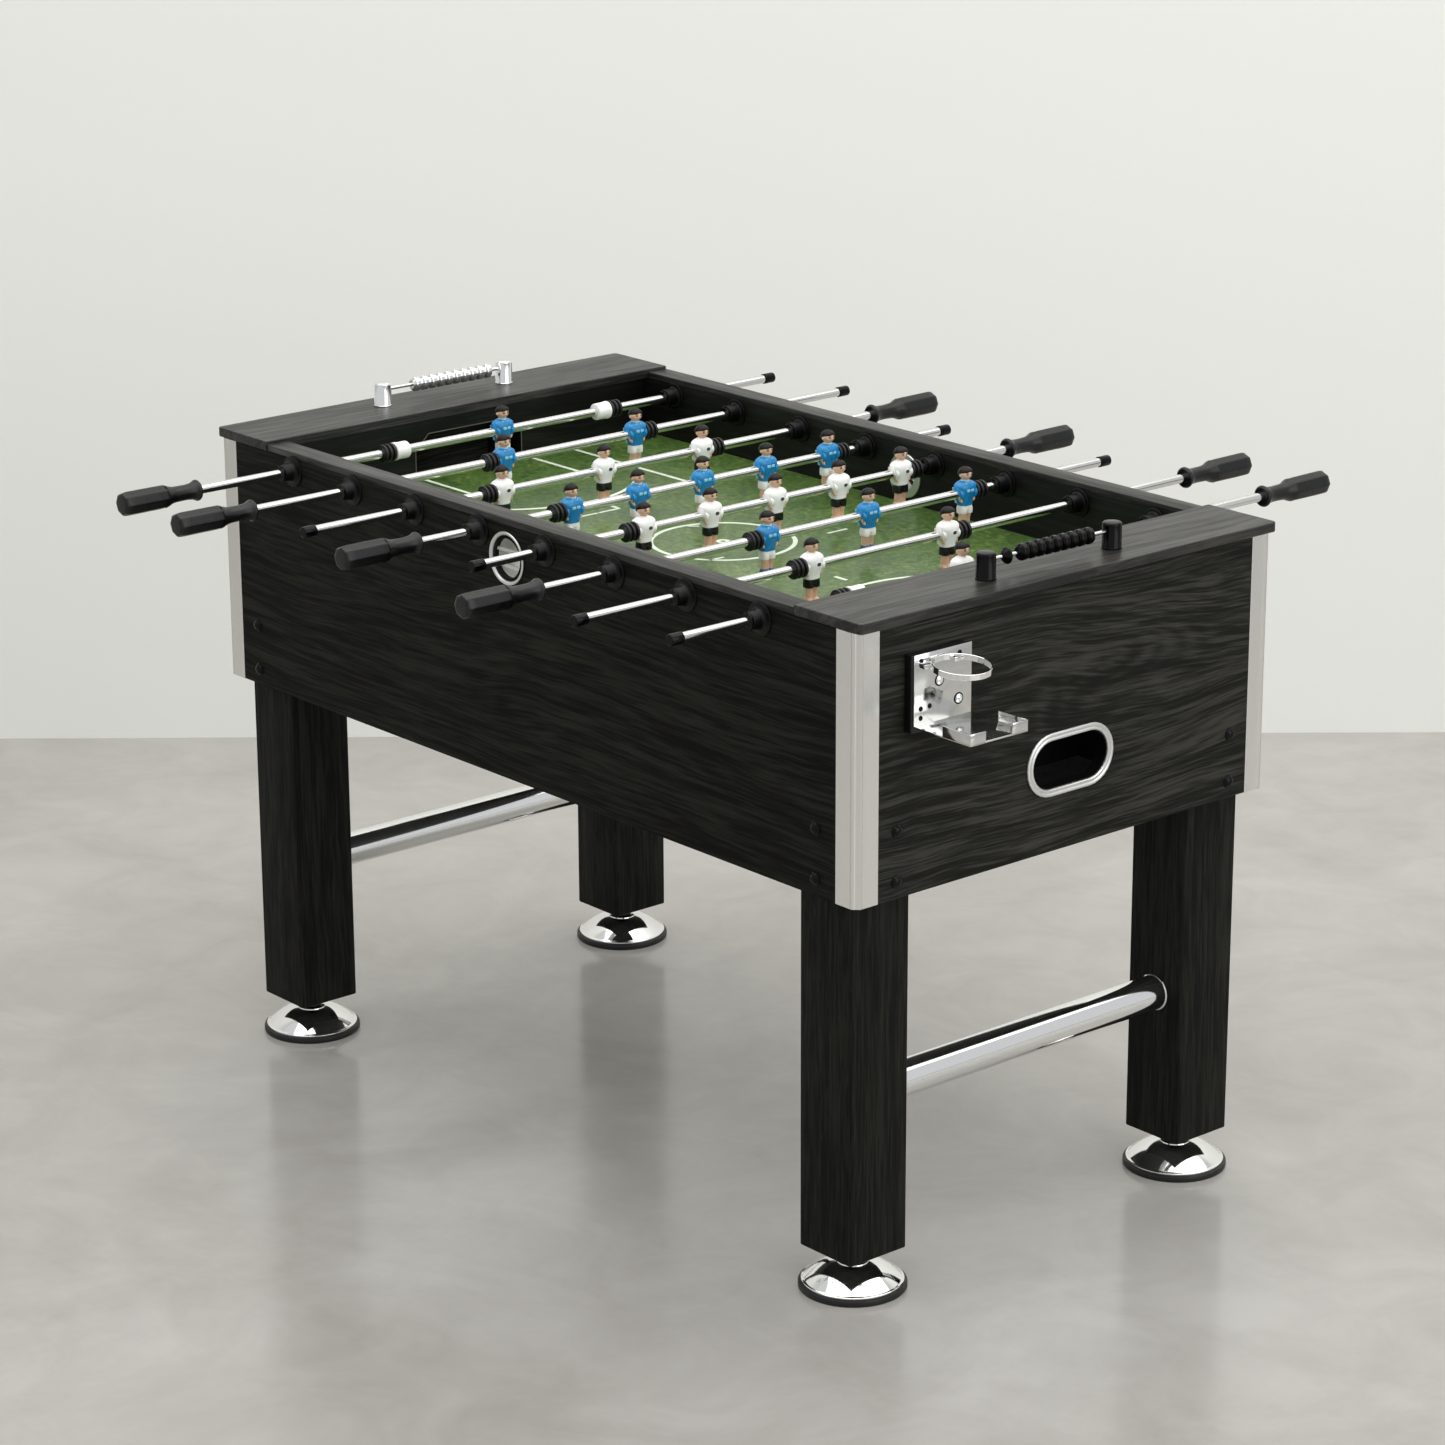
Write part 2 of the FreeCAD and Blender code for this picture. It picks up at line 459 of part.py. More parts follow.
for i, (side, word, count, mid, h_end, c_end) in enumerate(RODS):
    k = "abcdefgh"[i]
    x = ROD_X[i]
    name = "rod%d" % (i + 1)
    he, ce, mc = "grip_end_" + k, "tip_end_" + k, "mid_" + k
    # tube: from 12 mm inside the handle's end to 3 mm inside the cap's end
    start = "-(%s-12)" % he if side < 0 else "-(%s-3)" % ce
    length = "%s+%s-15" % (he, ce)
    tube = cut("tube", cyl("tube_outer", "rod_rad", length, x, start, "rod_z", "y"),
               cyl("tube_bore", "rod_rad-rod_wall", length + "+2", x, start + "-1", "rod_z", "y"))
    node(name + "_tube", tube)
    # turning sleeves in both housings
    sleeves = []
    for sy in (-1, 1):
        body_len = "hub_out-hub_in+2*face_gap"
        parts = [
            cyl("sleeve", "sleeve_rad", body_len, x, ("hub_in-face_gap" if sy > 0 else "-(hub_out+face_gap)"), "rod_z", "y"),
            cyl("sleeve_lip_out", "sleeve_lip", 2.5, x, ("hub_out+face_gap" if sy > 0 else "-(hub_out+face_gap+2.5)"), "rod_z", "y"),
            cyl("sleeve_lip_in", "sleeve_lip", 2.5, x, ("hub_in-face_gap-2.5" if sy > 0 else "-(hub_in-face_gap)"), "rod_z", "y"),
        ]
        bore = cyl("sleeve_bore", "rod_rad+sleeve_bore_gap", "hub_out-hub_in+12", x, ("hub_in-6" if sy > 0 else "-(hub_out+6)"), "rod_z", "y")
        sleeves.append(cut("bush", fuse("bush_solid", parts), bore))
    node(name + "_bushes", group(name + "_bushes", sleeves))
    # men
    pitch = {"goalie": "0", "two": "pitch_two", "three": "pitch_three", "five": "pitch_five"}[word]
    spots = ["%s+(%g)*%s" % (mc, j - (count - 1) / 2.0, pitch) for j in range(count)]
    node(name + "_men", group(name + "_men", [man("man", x, y) for y in spots]))
    # black fittings: handle, end cap, bumpers; and the goalie rods' stop collars
    g0 = "%s-grip_len" % he
    parts = [
        tapered("grip_lip", side, "collar_rad-2", "collar_rad", g0, "4", x),
        tapered("grip_flare", side, "collar_rad", "waist_rad", "(%s)+4" % g0, "16", x),
        tapered("grip_waist", side, "waist_rad", "waist_rad+0.5", "(%s)+20" % g0, "24", x),
        tapered("grip_shoulder", side, "waist_rad+0.5", "grip_rad", "(%s)+44" % g0, "12", x),
        tapered("grip_body", side, "grip_rad", "grip_rad+0.4", "(%s)+56" % g0, "66", x),
        tapered("grip_tip", side, "grip_rad+0.4", "grip_rad-4", "(%s)+122" % g0, "4", x),
    ]
    grip_bore = cyl("grip_bore", "rod_rad", "grip_len-12+1", x, along_y(side, "(%s)-1" % g0, "grip_len-12+1"), "rod_z", "y")
    grip = cut("handle", fuse("handle_solid", parts), grip_bore)
    cap = cut("end_cap", cyl("cap_solid", "cap_rad", "cap_len", x, along_y(-side, "%s-cap_len" % ce, "cap_len"), "rod_z", "y"),
              cyl("cap_bore", "rod_rad", "cap_len-3+1", x, along_y(-side, "%s-cap_len-1" % ce, "cap_len-3+1"), "rod_z", "y"))
    fit = [grip, cap]
    for sy in (-1, 1):
        if word == "goalie":
            inner = "stop_off+stop_len"
            c0 = "%s+stop_off" % mc if sy > 0 else "%s-stop_off-stop_len" % mc
            stop = cut("stop_collar", cyl("stop_solid", "stop_rad", "stop_len", x, c0, "rod_z", "y"),
                       cyl("stop_bore", "rod_rad", "stop_len+2", x, c0 + "-1", "rod_z", "y"))
            fit.append(stop)
        else:
            inner = "(%g)*%s+14" % ((count - 1) / 2.0, pitch)
        b0 = "%s+%s" % (mc, inner) if sy > 0 else "%s-(%s)-bump_len" % (mc, inner)
        parts = [cyl("bump_core", "bump_core", "bump_len", x, b0, "rod_z", "y")]
        for j in range(3):
            parts.append(cyl("bump_rib", "bump_rad", "4.4", x, b0 + "+0.9+%g*7.4" % j, "rod_z", "y"))
        fit.append(cut("bumper", fuse("bumper_solid", parts), cyl("bump_bore", "rod_rad", "bump_len+2", x, b0 + "-1", "rod_z", "y")))
    node(name + "_fittings", group(name + "_fittings", fit))

# ------------------------------------------------------------------ ball return bezels
bez = []
for sx, word in ENDS:
    def obround(stem, rad, x0, deep):
        parts = [box(stem + "_mid", deep, "2*ret_flat", "2*(%s)" % rad, x0, "-ret_flat", "ret_z-(%s)" % rad)]
        for sy in (-1, 1):
            parts.append(cyl(stem + "_end", rad, deep, x0, s(sy, "ret_flat"), "ret_z", "x"))
        return fuse(stem, parts)
    rim = obround("bezel_rim", "ret_rad+ret_rim", low(sx, "end_out+ret_proud", "ret_proud"), "ret_proud")
    neck = obround("bezel_neck", "ret_rad", low(sx, "end_out", "panel_thk-1"), "panel_thk-1")
    hole = obround("bezel_hole", "ret_rad-1.5", low(sx, "end_out+ret_proud+1", "40"), "40")
    bez.append(cut("return_bezel", fuse("bezel_solid", [rim, neck]), hole))
node("return_bezels", group("return_bezels", bez))

# ------------------------------------------------------------------ serve cups through both side panels
cups = []
for sy, word in SIDES:
    x = s(sy, "serve_x")
    thru = "side_out-rail_in"
    parts = [
        cyl("serve_rim", "serve_rad", 3, x, along_y(sy, "side_out", "3"), "serve_z", "y"),
        cyl("serve_tube", "serve_tube", thru, x, along_y(sy, "rail_in", thru), "serve_z", "y"),
        cyl("serve_inner_rim", "serve_rad-4", 2.5, x, along_y(sy, "rail_in-2.5", "2.5"), "serve_z", "y"),
    ]
    tools = [
        cyl("serve_bore", "serve_bore", "60", x, along_y(sy, "rail_in-10", "60"), "serve_z", "y"),
        tapered("serve_dish", sy, "serve_bore", "serve_rad-6", "side_out-8", "11.01", x),
    ]
    tools[1].setExpression("Placement.Base.z", expr("serve_z"))
    cups.append(cut("serve_cup", fuse("serve_solid", parts), fuse("serve_tools", tools)))
node("serve_cups", group("serve_cups", cups))

# ------------------------------------------------------------------ bead scorers on the end boards
frames = []
for sx, word in ENDS:
    x = s(sx, "post_x")
    rail = cyl("score_rail", "rail_rad", "2*(post_y+post_rad-3)", x, "-(post_y+post_rad-3)", "rail_z", "y")
    frames.append(rail)
    for sy in (-1, 1):
        post = cyl("score_post", "post_rad", "post_tall", x, s(sy, "post_y"), "board_top")
        frames.append(cut("score_post", post, cyl("post_bore", "rail_rad", "2*(post_y+post_rad-3)", x, "-(post_y+post_rad-3)", "rail_z", "y")))
node("scorer_frames", group("scorer_frames", frames))


def bead(x, y0):
    mid_part = cyl("bead_mid", "bead_rad", "bead_len-6", x, "(%s)+3" % y0, "rail_z", "y")
    a = cone("bead_low", "bead_rad-4", "bead_rad", 3, x, y0, "rail_z", "y")
    b = cone("bead_high", "bead_rad", "bead_rad-4", 3, x, "(%s)+bead_len-3" % y0, "rail_z", "y")
    return cut("bead", fuse("bead_solid", [mid_part, a, b]),
               cyl("bead_bore", "rail_rad+0.08", "bead_len+2", x, "(%s)-1" % y0, "rail_z", "y"))


node("scorer_right_first_bead", bead(s(1, "post_x"), "-83.6"))
node("scorer_right_beads", group("scorer_right_beads", [bead(s(1, "post_x"), "-56.4+%g*(bead_len+0.3)" % j) for j in range(9)]))
node("scorer_left_beads", group("scorer_left_beads", [bead(s(-1, "post_x"), "-59.7+%g*(bead_len+0.3)" % j) for j in range(10)]))

# ------------------------------------------------------------------ cup holders
brackets, rings = [], []
for sx, word in ENDS:
    # sizes are laid out for the right end and turned half round for the left end
    def tbox(stem, x0, x1, y0, y1, z0, z1):
        lx, ly, lz = "(%s)-(%s)" % (x1, x0), "(%s)-(%s)" % (y1, y0), "(%s)-(%s)" % (z1, z0)
        if sx > 0:
            return box(stem, lx, ly, lz, x0, y0, z0)
        return box(stem, lx, ly, lz, "-(%s)" % x1, "-(%s)" % y1, z0)
    y0, y1 = "cup_y_low", "cup_y_high"
    parts = [
        tbox("cup_plate", "cup_face-cup_thk", "cup_face", y0, y1, "cup_z_low", "cup_z_high"),
        tbox("cup_tray", "cup_face-cup_thk", "cup_front", y0, y1, "cup_z_low", "cup_z_low+cup_thk"),
        tbox("cup_lip_a", "cup_front-cup_thk", "cup_front", y0, "cup_y_low+26", "cup_z_low", "cup_z_low+cup_lip"),
        tbox("cup_lip_b", "cup_front-cup_thk", "cup_front", "cup_y_high-26", y1, "cup_z_low", "cup_z_low+cup_lip"),
        tbox("cup_lip_c", "cup_front-50", "cup_front", y0, "cup_y_low+cup_thk", "cup_z_low", "cup_z_low+cup_lip"),
        tbox("cup_lip_d", "cup_front-50", "cup_front", "cup_y_high-cup_thk", y1, "cup_z_low", "cup_z_low+cup_lip"),
    ]
    brackets.append(fuse("cup_bracket", parts))
    brackets.append(tbox("cup_spacer", "end_out", "cup_face-cup_thk", "cup_y_low-2", "cup_y_high-3", "cup_z_low-8", "cup_z_high-1"))
    rx = s(sx, "cup_face+ring_rad+1.2")
    ry = s(sx, "(cup_y_low+cup_y_high)/2-12")
    ring = cut("cup_band", cyl("ring_outer", "ring_rad", "ring_tall", rx, ry, "ring_z"),
               cyl("ring_inner", "ring_rad-ring_wall", "ring_tall+2", rx, ry, "ring_z-1"))
    tab = tbox("ring_tab", "cup_face", "cup_face+2.2", "(cup_y_low+cup_y_high)/2-26", "(cup_y_low+cup_y_high)/2+2", "ring_z-10", "ring_z+ring_tall")
    rings.append(fuse("cup_ring", [ring, tab]))
node("cup_brackets", group("cup_brackets", brackets))
node("cup_rings", group("cup_rings", rings))

# ------------------------------------------------------------------ recompute, check, write
doc.recompute()
bad = []
for o in doc.Objects:
    if any(flag in ("Invalid", "Error") for flag in o.State):
        bad.append("%s: %s" % (o.Name, o.State))
for label, o in NODES:
    shape = o.Shape
    if shape.isNull() or not shape.isValid() or not shape.Solids:
        bad.append("%s: null, invalid or without solids" % label)
if bad:
    raise SystemExit("failed objects:\n" + "\n".join(bad))
if len(NODES) > 60:
    print("too many nodes:", len(NODES))

os.makedirs("parts", exist_ok=True)
for label, o in NODES:
    o.Shape.exportStep("parts/%s.step" % label)
whole = FreeCAD.BoundBox()
for label, o in NODES:
    whole.add(o.Shape.BoundBox)
print("nodes", len(NODES), "solids", sum(len(o.Shape.Solids) for _, o in NODES))
print("box %.1f..%.1f  %.1f..%.1f  %.1f..%.1f" % (whole.XMin, whole.XMax, whole.YMin, whole.YMax, whole.ZMin, whole.ZMax))
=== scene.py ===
import math

import bmesh
import bpy
from mathutils import Matrix, Vector


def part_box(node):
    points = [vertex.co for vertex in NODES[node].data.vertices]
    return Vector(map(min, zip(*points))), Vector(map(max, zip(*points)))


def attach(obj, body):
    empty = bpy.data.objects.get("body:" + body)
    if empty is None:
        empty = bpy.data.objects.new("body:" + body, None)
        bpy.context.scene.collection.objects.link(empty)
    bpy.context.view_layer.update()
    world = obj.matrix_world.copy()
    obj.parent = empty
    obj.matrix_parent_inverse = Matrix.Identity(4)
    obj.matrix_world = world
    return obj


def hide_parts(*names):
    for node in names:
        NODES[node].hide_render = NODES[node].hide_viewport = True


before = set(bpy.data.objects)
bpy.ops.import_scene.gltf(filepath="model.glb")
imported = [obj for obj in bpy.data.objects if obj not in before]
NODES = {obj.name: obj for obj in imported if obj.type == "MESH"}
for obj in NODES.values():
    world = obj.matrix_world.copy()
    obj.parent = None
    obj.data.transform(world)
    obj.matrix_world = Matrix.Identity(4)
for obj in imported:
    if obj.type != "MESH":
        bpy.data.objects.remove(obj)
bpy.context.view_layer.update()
MM = 0.001
PI = math.pi


# ------------------------------------------------------------------ materials
class Nodes:
    """A small helper for a procedural material's node tree."""

    def __init__(self, name):
        self.mat = bpy.data.materials.new(name)
        self.mat.use_nodes = True
        self.t = self.mat.node_tree
        self.bsdf = next(n for n in self.t.nodes if n.type == "BSDF_PRINCIPLED")
        self.coord = None

    def new(self, kind, **values):
        n = self.t.nodes.new(kind)
        for k, v in values.items():
            setattr(n, k, v)
        return n

    def put(self, socket, value):
        if isinstance(value, bpy.types.NodeSocket):
            self.t.links.new(value, socket)
        elif isinstance(value, (tuple, list)):
            v = list(value)
            if len(v) == 3 and len(socket.default_value) == 4:
                v = v + [1.0]
            socket.default_value = v
        else:
            socket.default_value = value

    def object_coords(self):
        if self.coord is None:
            self.coord = self.new("ShaderNodeTexCoord").outputs["Object"]
        return self.coord

    def mapped(self, scale=(1, 1, 1), rotation=(0, 0, 0), location=(0, 0, 0), source=None):
        n = self.new("ShaderNodeMapping")
        self.put(n.inputs["Vector"], source or self.object_coords())
        n.inputs["Scale"].default_value = scale
        n.inputs["Rotation"].default_value = rotation
        n.inputs["Location"].default_value = location
        return n.outputs["Vector"]

    def noise(self, vector, scale=1.0, detail=4.0, rough=0.55, distortion=0.0):
        n = self.new("ShaderNodeTexNoise")
        self.put(n.inputs["Vector"], vector)
        n.inputs["Scale"].default_value = scale
        n.inputs["Detail"].default_value = detail
        n.inputs["Roughness"].default_value = rough
        n.inputs["Distortion"].default_value = distortion
        return n.outputs["Fac"]

    def voronoi(self, vector, scale, feature="F1"):
        n = self.new("ShaderNodeTexVoronoi", feature=feature)
        self.put(n.inputs["Vector"], vector)
        n.inputs["Scale"].default_value = scale
        return n.outputs["Distance"]

    def math(self, op, a, b=0.0, c=0.0):
        n = self.new("ShaderNodeMath", operation=op)
        self.put(n.inputs[0], a)
        self.put(n.inputs[1], b)
        if len(n.inputs) > 2:
            self.put(n.inputs[2], c)
        return n.outputs[0]

    def remap(self, value, lo, hi, to_lo, to_hi, smooth=False):
        n = self.new("ShaderNodeMapRange")
        if smooth:
            n.interpolation_type = "SMOOTHSTEP"
        self.put(n.inputs["Value"], value)
        n.inputs["From Min"].default_value = lo
        n.inputs["From Max"].default_value = hi
        n.inputs["To Min"].default_value = to_lo
        n.inputs["To Max"].default_value = to_hi
        return n.outputs["Result"]

    def ramp(self, value, stops):
        n = self.new("ShaderNodeValToRGB")
        self.put(n.inputs["Fac"], value)
        e = n.color_ramp.elements
        e[0].position, e[0].color = stops[0][0], (*stops[0][1], 1)
        e[1].position, e[1].color = stops[-1][0], (*stops[-1][1], 1)
        for p, col in stops[1:-1]:
            x = e.new(p)
            x.color = (*col, 1)
        return n.outputs["Color"]

    def mix(self, fac, a, b, mode="MIX"):
        n = self.new("ShaderNodeMix", data_type="RGBA", blend_type=mode)
        self.put(n.inputs[0], fac)
        self.put(n.inputs[6], a)
        self.put(n.inputs[7], b)
        return n.outputs[2]

    def bump(self, height, strength=0.3, distance=0.0005):
        n = self.new("ShaderNodeBump")
        n.inputs["Strength"].default_value = strength
        n.inputs["Distance"].default_value = distance
        self.put(n.inputs["Height"], height)
        self.put(self.bsdf.inputs["Normal"], n.outputs["Normal"])

    def edge(self, low=0.52, high=0.60):
        """0 on flats and 1 on outer edges."""
        g = self.new("ShaderNodeNewGeometry")
        return self.remap(g.outputs["Pointiness"], low, high, 0, 1, True)

    def set(self, color=None, rough=None, metallic=None, spec=None, coat=None, coat_rough=None, aniso=None):
        b = self.bsdf.inputs
        if color is not None:
            self.put(b["Base Color"], color)
        if rough is not None:
            self.put(b["Roughness"], rough)
        if metallic is not None:
            b["Metallic"].default_value = metallic
        if spec is not None:
            b["Specular IOR Level"].default_value = spec
        if coat is not None:
            b["Coat Weight"].default_value = coat
        if coat_rough is not None:
            b["Coat Roughness"].default_value = coat_rough
        if aniso is not None:
            b["Anisotropic"].default_value = aniso
        return self.mat


def srgb(r, g, b):
    def f(x):
        x /= 255
        return x / 12.92 if x <= 0.04045 else ((x + 0.055) / 1.055) ** 2.4
    return (f(r), f(g), f(b))


def laminate(name, along, across, dark, mid, light, rough=0.42, arches=1.0, seed=0.0, fine=1.0, coat=0.0, coat_rough=0.3, spec=0.3, contrast=1.0):
    """Wood-look laminate: open-pored oak grain with fine dark pores, wavy bands and cathedral arches.
    along and across are axis numbers, 0 to 2, of the grain and of the face."""
    m = Nodes(name)
    sep = m.new("ShaderNodeSeparateXYZ")
    m.put(sep.inputs[0], m.object_coords())
    slow = [2.2, 2.2, 2.2]
    slow[along] = 1.1
    slow[across] = 5.0
    warp = m.noise(m.mapped(scale=slow, location=(seed, seed * 0.7, seed * 1.3)), 1.0, 2.0, 0.45)
    wavy = [12.0, 12.0, 12.0]
    wavy[along] = 7.0
    ripple = m.noise(m.mapped(scale=wavy, location=(seed * 0.3, seed, seed * 0.9)), 1.0, 2.0, 0.5)
    # the grain wanders across the board
    drift = m.math("ADD", m.math("MULTIPLY", m.math("SUBTRACT", warp, 0.5), 0.10 * arches), m.math("MULTIPLY", m.math("SUBTRACT", ripple, 0.5), 0.012))
    side = m.math("ADD", sep.outputs[across], drift)
    comb = m.new("ShaderNodeCombineXYZ")
    for k in range(3):
        m.put(comb.inputs[k], side if k == across else sep.outputs[k])
    bent = comb.outputs[0]
    rings = m.math("ADD", m.math("MULTIPLY", side, 30.0 * fine), m.math("MULTIPLY", warp, 9.0 * arches))
    band = m.math("SINE", m.math("MULTIPLY", rings, 2.6))
    band2 = m.math("SINE", m.math("MULTIPLY", rings, 9.5))
    fs = [520.0 * fine] * 3
    fs[along] = 20.0
    fibres = m.noise(m.mapped(scale=fs, location=(seed, 0, 0), source=bent), 1.0, 3.0, 0.55)
    cs = [250.0 * fine] * 3
    cs[along] = 9.0
    streak = m.noise(m.mapped(scale=cs, location=(0, seed, 0), source=bent), 1.0, 4.0, 0.6)
    ws = [60.0] * 3
    ws[along] = 4.0
    broad = m.noise(m.mapped(scale=ws, location=(0, 0, seed), source=bent), 1.0, 3.0, 0.55)
    v = m.math("ADD", m.math("MULTIPLY", band, 0.035), m.math("MULTIPLY", band2, 0.045))
    v = m.math("ADD", v, m.math("MULTIPLY", m.math("SUBTRACT", streak, 0.5), 1.2 * contrast))
    v = m.math("ADD", v, m.math("MULTIPLY", m.math("SUBTRACT", fibres, 0.5), 0.7 * contrast))
    v = m.math("ADD", v, m.math("MULTIPLY", m.math("SUBTRACT", broad, 0.5), 0.6 * contrast))
    v = m.math("ADD", v, 0.5)
    col = m.ramp(v, [(0.34, dark), (0.48, mid), (0.59, tuple(0.5 * (a + b) for a, b in zip(mid, light))), (0.72, light)])
    m.set(color=col,
          rough=m.remap(v, 0.2, 0.8, rough + 0.08, rough - 0.06), spec=spec, coat=coat, coat_rough=coat_rough)
    m.bump(v, 0.55, 0.0004)
    return m.mat


def plastic(name, color, rough=0.35, dull=0.06, grain=900.0, bump=0.08, edge_light_and_wear=(0.25, 1.6), spec=0.5, tint=0.12):
    """Moulded plastic: a fine moulded texture, slight uneven gloss, and convex edges painted lighter, partly rubbed
    wear and partly a painted edge highlight.
    """
    m = Nodes(name)
    a = m.noise(m.object_coords(), 60.0, 3.0, 0.6)
    b = m.noise(m.object_coords(), grain, 2.0, 0.5)
    shade = m.remap(a, 0.3, 0.7, 1 - tint, 1 + tint)
    col = m.mix(1.0, color, m.mix(0.0, (1, 1, 1), (1, 1, 1)), "MULTIPLY")
    n = m.new("ShaderNodeVectorMath", operation="SCALE")
    m.put(n.inputs[0], col)
    m.put(n.inputs["Scale"], shade)
    # convex edges are painted lighter: a painted highlight along the edges together with rubbed wear
    edge_highlight_and_wear_color = tuple(min(1.0, c * edge_light_and_wear[1] + 0.012) for c in color)
    m.set(color=m.mix(m.math("MULTIPLY", m.edge(), edge_light_and_wear[0]), n.outputs[0], edge_highlight_and_wear_color),
          rough=m.remap(a, 0.3, 0.7, rough - dull, rough + dull), spec=spec)
    m.bump(b, bump, 0.0002)
    return m.mat


def metal(name, color, rough=0.2, axis=None, spread=0.06, bump=0.05, scratch=500.0, dark=0.9, coat=0.0):
    """Metal: drawn or brushed lines along an axis, or fine handling marks, with smudges in the gloss."""
    m = Nodes(name)
    sc = [scratch] * 3
    if axis is not None:
        sc[axis] = scratch * 0.012
    lines = m.noise(m.mapped(scale=sc), 1.0, 3.0, 0.6)
    smudge = m.noise(m.object_coords(), 14.0, 3.0, 0.6)
    col = m.mix(m.remap(lines, 0.35, 0.65, 0, 1), tuple(c * dark for c in color), color)
    r = m.math("ADD", m.remap(smudge, 0.35, 0.7, rough - spread * 0.5, rough + spread * 0.5), m.remap(lines, 0.3, 0.7, -spread * 0.5, spread * 0.5))
    m.set(color=col, rough=r, metallic=1.0, coat=coat)
    m.bump(lines, bump, 0.0001)
    return m.mat


MAT = {}
# The end and side laminates are one black laminate: the end copy is painted lighter as painted light on the ends, the
# side copy darker as painted shade on the sides.
MAT["board_end_painted_lit"] = laminate("end_laminate_painted_lit", 1, 2, srgb(26, 26, 23), srgb(37, 37, 33), srgb(61, 60, 55), 0.46, 1.5, 3.1, spec=0.07)
MAT["board_side_painted_shaded"] = laminate("side_laminate_painted_shaded", 0, 2, srgb(17, 17, 15), srgb(25, 25, 22), srgb(38, 38, 33), 0.46, 0.9, 7.7, spec=0.05)
MAT["board_leg"] = laminate("leg_laminate", 2, 1, srgb(22, 22, 20), srgb(29, 29, 26), srgb(40, 40, 36), 0.46, 0.5, 12.3, spec=0.05)
MAT["board_top_end"] = laminate("top_laminate_end", 1, 0, srgb(22, 22, 20), srgb(38, 37, 34), srgb(58, 57, 53), 0.38, 0.5, 21.0, 1.0, 0.06, 0.3, 0.3)
MAT["board_top_side"] = laminate("top_laminate_side", 0, 1, srgb(20, 20, 18), srgb(34, 33, 31), srgb(54, 53, 50), 0.38, 0.5, 33.0, 1.0, 0.06, 0.3, 0.3)
MAT["board_inner"] = laminate("inner_laminate", 0, 2, srgb(3, 3, 3), srgb(9, 9, 8), srgb(24, 24, 22), 0.42, 0.7, 40.0)
MAT["board_goal"] = laminate("goal_laminate", 1, 2, srgb(3, 3, 3), srgb(10, 10, 9), srgb(28, 28, 26), 0.42, 0.7, 51.0)
MAT["plastic_black"] = plastic("black_moulded_plastic", srgb(12, 12, 12), 0.32, 0.07, spec=0.4)
MAT["plastic_gloss"] = plastic("black_gloss_plastic", srgb(4, 4, 4), 0.13, 0.04, 500.0, 0.02, (0.04, 1.2), 0.18)
MAT["plastic_dark"] = plastic("black_bearing_plastic", srgb(6, 6, 6), 0.34, 0.06, 900.0, 0.05, (0.04, 1.2), 0.2)
MAT["rubber"] = plastic("black_rubber", srgb(9, 9, 9), 0.5, 0.1, 700.0, 0.16, (0.35, 2.0))
MAT["steel_black"] = plastic("black_powder_coat", srgb(16, 16, 16), 0.4, 0.06, 1400.0, 0.22, (0.3, 2.4))
MAT["chrome"] = metal("chrome_plate", (0.93, 0.93, 0.92), 0.09, None, 0.06, 0.02, 400.0, 0.97)
MAT["rod_steel"] = metal("polished_rod_steel", (0.80, 0.80, 0.78), 0.13, 1, 0.02, 0.0, 500.0, 0.99)
MAT["aluminium"] = metal("satin_aluminium", (0.88, 0.87, 0.84), 0.25, 2, 0.015, 0.0, 2600.0, 0.98)
MAT["silver"] = metal("silver_lacquer", (0.80, 0.80, 0.78), 0.36, None, 0.06, 0.03, 300.0, 0.95)
MAT["polished"] = metal("polished_plate", (0.76, 0.76, 0.74), 0.11, 2, 0.05, 0.02, 500.0, 0.96)
MAT["grey_dish"] = plastic("grey_moulded_plastic", srgb(188, 187, 182), 0.4, 0.06)
MAT["blue_shirt"] = plastic("team_blue_shirt", srgb(24, 128, 188), 0.3, 0.07, 500.0, 0.06, (0.45, 1.5))
MAT["white_shirt"] = plastic("team_white_shirt", srgb(250, 249, 246), 0.34, 0.07, 500.0, 0.06, (0.2, 1.1), 0.5, 0.04)
MAT["white_paint"] = plastic("white_trim_paint", srgb(250, 249, 246), 0.33, 0.07, 500.0, 0.05, (0.2, 1.1), 0.5, 0.04)
MAT["black_shorts"] = plastic("team_black_shorts", srgb(16, 16, 17), 0.32, 0.07, 500.0, 0.06, (0.3, 2.0))
MAT["skin"] = plastic("figure_skin_paint", srgb(228, 186, 156), 0.38, 0.07, 500.0, 0.05, (0.25, 1.2), 0.5, 0.08)
MAT["hair"] = plastic("figure_hair_paint", srgb(9, 7, 6), 0.42, 0.07, 420.0, 0.25, (0.4, 2.0), 0.25)
MAT["boot_blue"] = plastic("blue_team_boots", srgb(24, 88, 134), 0.32, 0.07, 500.0, 0.06, (0.35, 1.7))
MAT["boot_white"] = plastic("white_team_boots", srgb(214, 172, 140), 0.36, 0.07, 500.0, 0.06, (0.3, 1.2))
MAT["chest_mark"] = plastic("dark_badge_paint", srgb(62, 66, 74), 0.35)
MAT["pale_blue"] = plastic("pale_blue_trim_paint", srgb(150, 208, 232), 0.3, 0.06, 500.0, 0.05, (0.2, 1.1), 0.5, 0.05)
MAT["eye"] = plastic("dark_face_paint", srgb(34, 24, 22), 0.3)
MAT["lip"] = plastic("lip_paint", srgb(176, 98, 84), 0.36)
MAT["line"] = plastic("pitch_line_paint", srgb(226, 236, 216), 0.4, 0.06, 300.0, 0.1, (0.1, 1.0), 0.4, 0.08)
MAT["edging"] = plastic("pale_edging", srgb(96, 96, 88), 0.4, 0.06, 300.0, 0.1)


